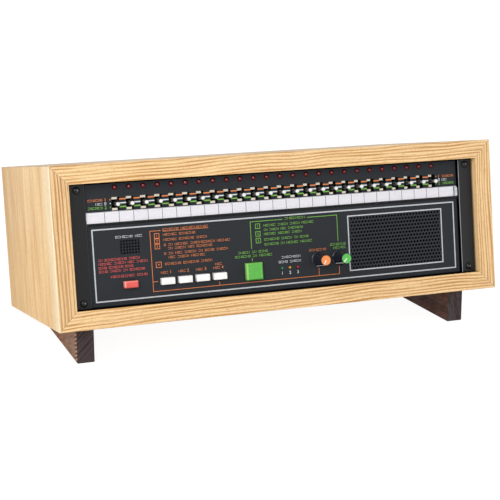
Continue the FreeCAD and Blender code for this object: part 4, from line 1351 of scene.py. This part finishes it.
class INTERCOM_OT_label_strip(bpy.types.Operator):
    """Print the card's cells and finish the card and its clear holder"""

    bl_idname = "intercom.label_strip"
    bl_label = "Label strip"

    def execute(self, context):
        tone = colours()
        size = sizes()
        card = Box("label_strip_card")
        dress("label_strip_card", paper("card_white", tone.card))
        dress("label_strip_holder", clear_plastic())
        lines = Printing(ink("card_line", tone.card_line), card.low.y)
        cells = Printing(paper("card_cell", tone.card_cell), card.low.y)
        side, end = 0.9 * MM, 1.44 * MM
        start = card.low.x + size.cell_start
        edges = [start + number * size.cell_pitch for number in range(len(STATIONS) + 1)]
        for x in edges:
            lines.upright(x, (card.low.z, card.high.z), size.cell_line)
        for left, right in zip([card.low.x] + edges, edges + [card.high.x]):
            cells.bar((left + side, right - side), (card.low.z + end, card.high.z - end))
        lines.build("card_lines", "cabinet", "card_white")
        cells.build("card_cells", "cabinet", "card_white")
        return {"FINISHED"}


# ---------------------------------------------------------------- levers, lamps, buttons and knobs
class INTERCOM_OT_station_levers(bpy.types.Operator):
    """Make the lever handles and the cream lugs above and below them"""

    bl_idname = "intercom.station_levers"
    bl_label = "Station levers"

    def execute(self, context):
        tone = colours()
        black = stem("lever_black", tone.lever, tone.lever_worn, Box(STATIONS[0]).low.y)
        white = moulded("lever_tip", tone.ball, 0.25)
        for name in STATIONS:
            self.lever(name, black, white)
        # painted light: the cream lugs glow with their own colour, though they are no lamp
        painted_light = {"Emission Color": (*tone.lug, 1), "Emission Strength": 0.42}
        self.lugs(moulded("lug_cream", tone.lug, 0.4, values=painted_light))
        dress("lever_switch_bodies", moulded("black_nylon", tone.nylon, 0.5))
        return {"FINISHED"}

    def lever(self, name, black, white):
        """Hub on its pin, tapered stem with a collar, ball and tail."""
        size = sizes()
        box = Box(name)
        middle = pivot(name + "_throw")
        reach = middle.y - box.low.y - size.ball_radius
        panel_reach = middle.y - FACE_Y
        neck = reach - size.ball_radius * 0.6
        half_hub = box.half.x
        root = (size.bore_radius + size.hub_radius) / 2
        collar_back, collar_front = neck - 0.5 * MM, neck + 0.3 * MM
        collar_radius = size.stem_neck + 0.35 * MM
        lever = Piece(black, white)
        stem_outline = [
            (root, 0), (root, size.stem_root), (panel_reach, size.stem_root),
            (neck, size.stem_neck), (neck, 0),
        ]
        collar_outline = [
            (collar_back, size.stem_neck), (collar_back, collar_radius),
            (collar_front, collar_radius), (collar_front, 0),
        ]
        lever.add(turned(eased(stem_outline, reach=0.15 * MM), steps=28), middle)
        lever.add(turned(eased(collar_outline, reach=0.12 * MM), steps=28), middle, 1)
        tip = ball(size.ball_radius, segments=28, rings=16)
        lever.add(swung(tip, 90, "X"), middle - Vector((0, reach, 0)), 1)
        hub = turned([
            (-half_hub, size.bore_radius), (-half_hub, size.hub_radius),
            (half_hub, size.hub_radius), (half_hub, size.bore_radius),
        ], steps=32, closed=True)
        lever.add(swung(hub, 90, "Z"), middle)
        lever.add(block(
            (-half_hub, root, -size.tail / 2), (half_hub, box.high.y - middle.y, size.tail / 2),
            rounding=0.2 * MM,
        ), middle)
        lever.build(name.replace("lever", "handle"), name, "lever_black", [name])

    def lugs(self, cream):
        """Cream skins over the lugs of every switch housing."""
        size = sizes()
        skin = size.lug_proud
        front = Box("lever_switch_bodies").low.y - skin
        back = front + 0.5 * MM
        half_width = size.lug_half_width + skin
        near, far = size.lug_near - skin, size.lug_far + skin
        lugs = Piece(cream)
        for name in STATIONS:
            middle = pivot(name + "_throw")
            for low, high in ((near, far), (-far, -near)):
                lug = block((-half_width, front, low), (half_width, back, high), rounding=0.25 * MM)
                lugs.add(lug, (middle.x, 0, middle.z))
        lugs.build("lever_lugs", "cabinet")


class INTERCOM_OT_lamps(bpy.types.Operator):
    """Make the station lamps and the three level lamps"""

    bl_idname = "intercom.lamps"
    bl_label = "Lamps"

    def execute(self, context):
        tone = colours()
        size = sizes()
        columns = [pivot(name + "_throw").x for name in STATIONS]
        shades = {"station_lens": tone.station_lamp}
        self.row("station", "lamp_red", shades, columns, size.station_lens, spot=0.75)
        columns = level_lamp_columns()
        shades = {
            "level_lens_0": tone.level_green, "level_lens_1": tone.level_yellow,
            "level_lens_2": tone.level_red,
        }
        self.row("level", "level_lamp_lens", shades, columns, size.level_lens, spot=0.3)
        dress("lamp_holders", moulded("holder_nylon", tone.nylon, 0.45))
        return {"FINISHED"}

    def row(self, kind, slot, shades, columns, radius, spot):
        """Domed lenses with their flanges, and two leads running back from each."""
        box = Box(kind + "_lamps")
        front = Vector((0, box.low.y, box.middle.z))
        finishes = [lens(name, shade, front, columns, spot) for name, shade in shades.items()]
        lamps = Piece(*finishes, plated(kind + "_lenses_leads", 0.3))
        lead_overlap, lead_half, lead_offset = 0.1 * MM, 0.3 * MM, 1.27 * MM
        body_end = FACE_Y + 5.0 * MM
        flange, rim = 1.0 * MM, radius + 0.4 * MM
        length = body_end - box.low.y
        dome_steps = 9
        dome = [
            (length - radius + radius * math.cos(turn), radius * math.sin(turn))
            for turn in [math.radians(90 * step / dome_steps) for step in range(dome_steps + 1)]
        ]
        profile = dome + [(flange, radius), (flange, rim), (0, rim), (0, 0)]
        for number, x in enumerate(columns):
            body = turned(profile, steps=32)
            lamps.add(body, (x, body_end, box.middle.z), min(number, len(finishes) - 1))
            for lead_x in (x - lead_offset, x + lead_offset):
                lead = block(
                    (-lead_half, body_end - lead_overlap, -lead_half),
                    (lead_half, box.high.y, lead_half),
                )
                lamps.add(lead, (lead_x, 0, box.middle.z), len(finishes))
        lamps.build(kind + "_lenses", "cabinet", slot, [kind + "_lamps"])


class INTERCOM_OT_buttons(bpy.types.Operator):
    """Make the push buttons"""

    bl_idname = "intercom.buttons"
    bl_label = "Buttons"

    def execute(self, context):
        tone = colours()
        white = moulded("button_white", tone.white_button, 0.3)
        red = cap_plastic("button_red", tone.red_button, tone.red_edge, "emergency_button")
        green = cap_plastic("button_green", tone.green_button, tone.green_edge, "talk_button")
        self.button("emergency_button", "button_red", red)
        for name in SOURCE_BUTTONS:
            self.button(name, "button_white", white)
        self.button("talk_button", "button_green", green)
        dress("push_switch_bodies", moulded("switch_nylon", tone.nylon, 0.5))
        return {"FINISHED"}

    def button(self, name, slot, finish):
        """Cap, flange and plunger."""
        box = Box(name)
        lap, plunger_length = 0.6 * MM, 16.0 * MM
        flange_back = box.high.y - plunger_length
        flange_front = flange_back - sizes().flange
        half = sizes().plunger / 2
        low = Vector((box.low.x + lap, box.low.y, box.low.z + lap))
        high = Vector((box.high.x - lap, flange_front, box.high.z - lap))
        button = Piece(finish)
        button.add(self.talk_cap(low, high) if name == "talk_button" else self.plain_cap(low, high))
        for first, last in (
            ((box.low.x, flange_front, box.low.z), (box.high.x, flange_back, box.high.z)),
            (
                (box.middle.x - half, flange_back, box.middle.z - half),
                (box.middle.x + half, box.high.y, box.middle.z + half),
            ),
        ):
            button.add(block(first, last, rounding=0.2 * MM))
        button.build(name + "_cap", name, slot, [name])

    def plain_cap(self, low, high):
        """A rounded cap with a faint crown."""
        shape = block(low, high)
        rounded = [edge for edge in shape.edges if min(end.co.y for end in edge.verts) < high.y]
        soften(shape, rounded, reach=sizes().button_edge, steps=4)
        inset(shape, forward_faces(shape), border=1.6 * MM, rise=0.1 * MM)
        return shape

    def talk_cap(self, low, high):
        """A bevelled square cap with a shallow dish."""
        size = sizes()
        shape = block((low.x, low.y + size.talk_bevel, low.z), high)
        front = forward_faces(shape)
        inset(shape, front, border=size.talk_bevel, rise=size.talk_bevel)
        inset(shape, front, border=0.9 * MM, rise=0)
        inset(shape, front, border=0.8 * MM, rise=-size.talk_dish)
        folded = [edge for edge in shape.edges if edge.calc_face_angle(0) > 0.2]
        soften(shape, folded, reach=0.3 * MM, steps=3)
        return shape


def forward_faces(shape):
    """The faces of a shape that look straight forward."""
    return [face for face in shape.faces if face.normal.y < -0.99]


def inset(shape, faces, border, rise):
    """Insets faces by a border and raises what is left."""
    bmesh.ops.inset_region(shape, faces=faces, thickness=border, depth=rise)


class INTERCOM_OT_knobs(bpy.types.Operator):
    """Make the two volume knobs, their coloured caps and their shafts"""

    bl_idname = "intercom.knobs"
    bl_label = "Knobs"

    def execute(self, context):
        tone = colours()
        black = moulded("knob_black", tone.knob, 0.2, specular=0.6)
        white = moulded("pointer_white", tone.pointer, 0.35)
        steel = plated("shaft_steel", 0.25)
        for name, turn, slot, shade in (
            ("program_knob", 28, "cap_orange", tone.orange_cap),
            ("monitor_knob", 42, "cap_green", tone.green_cap),
        ):
            self.knob(name, turn, black, white, steel)
            self.cap(name, turn, slot, moulded(slot, shade, 0.32), white)
        dress("potentiometers", plated("control_steel", 0.35))
        return {"FINISHED"}

    def knob(self, name, turn, black, white, steel):
        """Skirted body with a concave waist, pointer fin and shaft."""
        size = sizes()
        box = Box(name)
        skirt_radius, seat_radius = box.half.z, Box(name + "_cap").half.z
        foot = Vector((box.middle.x, FACE_Y - 0.6 * MM, box.middle.z))
        length = foot.y - box.low.y
        shaft_end = foot.y - box.high.y
        seat = length - size.cap_seat
        waist = hollow_curve(
            (size.skirt + 0.5 * MM, skirt_radius - 0.7 * MM), (size.waist_at, size.waist_radius),
            (length, size.neck_radius), steps=12,
        )
        skirt = eased([
            (size.hollow_depth, 0), (size.hollow_depth, size.hollow_radius),
            (0, size.hollow_radius), (0, skirt_radius), (size.skirt, skirt_radius),
        ], reach=0.35 * MM, steps=4)
        end = eased([
            (length - 0.8 * MM, size.neck_radius + 0.02 * MM), (length, size.neck_radius),
            (length, seat_radius), (seat, seat_radius), (seat, 0),
        ], reach=0.2 * MM)
        body = Piece(black, white, steel)
        body.add(turned(skirt + waist[:-1] + end, steps=72), foot)
        body.add(turned([
            (size.hollow_depth, 0), (size.hollow_depth, size.shaft_radius),
            (shaft_end, size.shaft_radius), (shaft_end, 0),
        ], steps=32), foot, 2)
        root, near_top = seat_radius + 0.05 * MM, skirt_radius - 0.75 * MM
        far_top = size.neck_radius + 0.1 * MM
        fin = wedge(size.fin, size.skirt, length, root, near_top, far_top)
        line = wedge(
            size.pointer * 0.8, size.skirt + 1.0 * MM, length - 0.2 * MM, root + 0.2 * MM,
            near_top - 0.02 * MM, far_top + 0.08 * MM,
        )
        body.add(swung(fin, turn, "Y"), foot)
        body.add(swung(line, turn, "Y"), foot, 1)
        body.build(name + "_body", name, "knob_black", [name])

    def cap(self, name, turn, slot, finish, white):
        """Dished disc with a raised white pointer."""
        size = sizes()
        box = Box(name + "_cap")
        radius, thickness = box.half.z, box.half.y * 2
        base = Vector((box.middle.x, box.high.y, box.middle.z))
        dish = thickness - size.cap_dish
        inner = radius - size.cap_rim
        half = size.pointer / 2
        cap = Piece(finish, white)
        outline = [
            (0, 0), (0, radius), (thickness, radius), (thickness, inner),
            (dish, inner - 0.3 * MM), (dish, 0),
        ]
        cap.add(turned(eased(outline, reach=0.22 * MM), steps=56), base)
        line = block(
            (-half, -thickness - 0.02 * MM, -radius + 0.35 * MM),
            (half, -dish + 0.2 * MM, 0.4 * MM), rounding=0.1 * MM,
        )
        cap.add(swung(line, turn, "Y"), base, 1)
        cap.build(name + "_disc", name, slot, [name + "_cap"])


def hollow_curve(start, through, end, steps):
    """Points of a smooth dip from one profile point to another by way of a third."""
    start, through, end = Vector(start), Vector(through), Vector(end)
    share = (through - start).length / ((through - start).length + (end - through).length)
    bend = (through - start * (1 - share) ** 2 - end * share ** 2) / (2 * share * (1 - share))
    return bent(start, bend, end, steps)


def wedge(width, near, far, root, near_top, far_top):
    """A fin pointing down: its outline runs forward from near to far, and out from its root."""
    shape = bmesh.new()
    outline = [(near, root), (near, near_top), (far, far_top), (far, root)]
    corners = [shape.verts.new((-width / 2, -forward, -out)) for forward, out in outline]
    moved = bmesh.ops.extrude_face_region(shape, geom=[shape.faces.new(corners)])
    tips = [part for part in moved["geom"] if isinstance(part, bmesh.types.BMVert)]
    bmesh.ops.translate(shape, verts=tips, vec=(width, 0, 0))
    bmesh.ops.recalc_face_normals(shape, faces=shape.faces)
    return shape


# ---------------------------------------------------------------- back and inside
class INTERCOM_OT_back(bpy.types.Operator):
    """Finish the back panel and make the terminal strip"""

    bl_idname = "intercom.back"
    bl_label = "Back and terminals"

    def execute(self, context):
        tone = colours()
        dress("cabinet_back_panel", enamel("black_steel", tone.trim, lift=0.6, gloss=0.5))
        self.strip(Piece(moulded("phenolic", tone.phenolic, 0.35), plated("terminal_plate", 0.25)))
        return {"FINISHED"}

    def strip(self, strip):
        """Ribbed base with a plate and a screw in every bay, and a screw at each end."""
        box = Box("terminal_strip")
        seat = Box("cabinet_back_panel").high.y
        ear, pitch, bays = 9.0 * MM, 9.5 * MM, 26
        rib_half, plate_half = Vector((0.8, 9)) * MM, Vector((3.2, 6.5)) * MM
        base_back, sunk = seat + 6.0 * MM, 0.5 * MM
        plate_back = base_back + 0.4 * MM
        z = box.middle.z
        strip.add(block(
            (box.low.x, seat, box.low.z), (box.high.x, base_back, box.high.z), rounding=0.5 * MM,
        ))
        for number in range(bays + 1):
            x = box.low.x + ear + number * pitch
            strip.add(block(
                (-rib_half.x, base_back - sunk, -rib_half.y), (rib_half.x, box.high.y, rib_half.y),
                rounding=0.35 * MM,
            ), (x, 0, z))
        for number in range(bays):
            x = box.low.x + ear + (number + 0.5) * pitch
            strip.add(block(
                (-plate_half.x, base_back - 0.2 * MM, -plate_half.y),
                (plate_half.x, plate_back, plate_half.y), rounding=0.15 * MM, steps=1,
            ), (x, 0, z), 1)
            self.screw(strip, (x, plate_back, z), radius=2.6 * MM, height=1.5 * MM)
        for x in (box.low.x + ear / 2, box.high.x - ear / 2):
            self.screw(strip, (x, base_back, z), radius=2.8 * MM, height=1.8 * MM)
        strip.build("terminal_block", "cabinet", "terminal_black", ["terminal_strip"])

    def screw(self, strip, place, radius, height):
        """A domed screw head facing back, with its slot cut as two halves over a flat core."""
        half_slot, slot_turn = 0.35 * MM, 35
        dome = [
            (0, 0), (0, radius), (height * 0.5, radius * 0.97), (height, radius * 0.6), (height, 0)
        ]
        head = swung(turned(eased(dome, reach=0.2 * MM, steps=2), steps=20), 180, "Z")
        for side in (-1, 1):
            half = head.copy()
            cut = bmesh.ops.bisect_plane(
                half, geom=half.verts[:] + half.edges[:] + half.faces[:],
                plane_co=(side * half_slot, 0, 0), plane_no=(-side, 0, 0), clear_outer=True,
            )
            rim = [part for part in cut["geom_cut"] if isinstance(part, bmesh.types.BMEdge)]
            bmesh.ops.holes_fill(half, edges=rim, sides=0)
            strip.add(swung(half, slot_turn, "Y"), place, 1)
        head.free()
        core_radius, core_height = radius * 0.96, height * 0.45
        core = [(0, 0), (0, core_radius), (core_height, core_radius), (core_height, 0)]
        strip.add(swung(turned(core, steps=20), 180, "Z"), place, 1)


class INTERCOM_OT_inside(bpy.types.Operator):
    """Finish the loudspeaker, the microphone and the circuit boards"""

    bl_idname = "intercom.inside"
    bl_label = "Inside pieces"

    def execute(self, context):
        tone = colours()
        dress("loudspeaker", enamel("speaker_black", tone.cone, lift=0.5, gloss=0.35))
        dress("microphone_capsule", moulded("microphone_rubber", tone.rubber, 0.6))
        dress("circuit_boards", laminate())
        return {"FINISHED"}


class INTERCOM_PT_sidebar(bpy.types.Panel):
    """Steps that dress the desk intercom"""

    bl_label = "Desk intercom"
    bl_idname = "INTERCOM_PT_sidebar"
    bl_space_type = "VIEW_3D"
    bl_region_type = "UI"
    bl_category = "Intercom"

    def draw(self, context):
        for step in STEPS:
            self.layout.operator(step.bl_idname)
        for name, group in (("Colours", colours()), ("Sizes", sizes())):
            column = self.layout.box().column()
            column.label(text=name)
            for key in group.__annotations__:
                column.prop(group, key)


STEPS = (
    INTERCOM_OT_stage,
    INTERCOM_OT_cabinet,
    INTERCOM_OT_front_metal,
    INTERCOM_OT_printing,
    INTERCOM_OT_label_strip,
    INTERCOM_OT_station_levers,
    INTERCOM_OT_lamps,
    INTERCOM_OT_buttons,
    INTERCOM_OT_knobs,
    INTERCOM_OT_back,
    INTERCOM_OT_inside,
)
CLASSES = (IntercomColours, IntercomSizes, *STEPS, INTERCOM_PT_sidebar)


def register():
    for made in CLASSES:
        bpy.utils.register_class(made)
    bpy.types.Scene.intercom_colours = PointerProperty(type=IntercomColours)
    bpy.types.Scene.intercom_sizes = PointerProperty(type=IntercomSizes)


def unregister():
    del bpy.types.Scene.intercom_sizes
    del bpy.types.Scene.intercom_colours
    for made in reversed(CLASSES):
        bpy.utils.unregister_class(made)


def main():
    register()
    for step in STEPS:
        group, name = step.bl_idname.split(".")
        getattr(getattr(bpy.ops, group), name)()


if __name__ == "__main__":
    main()
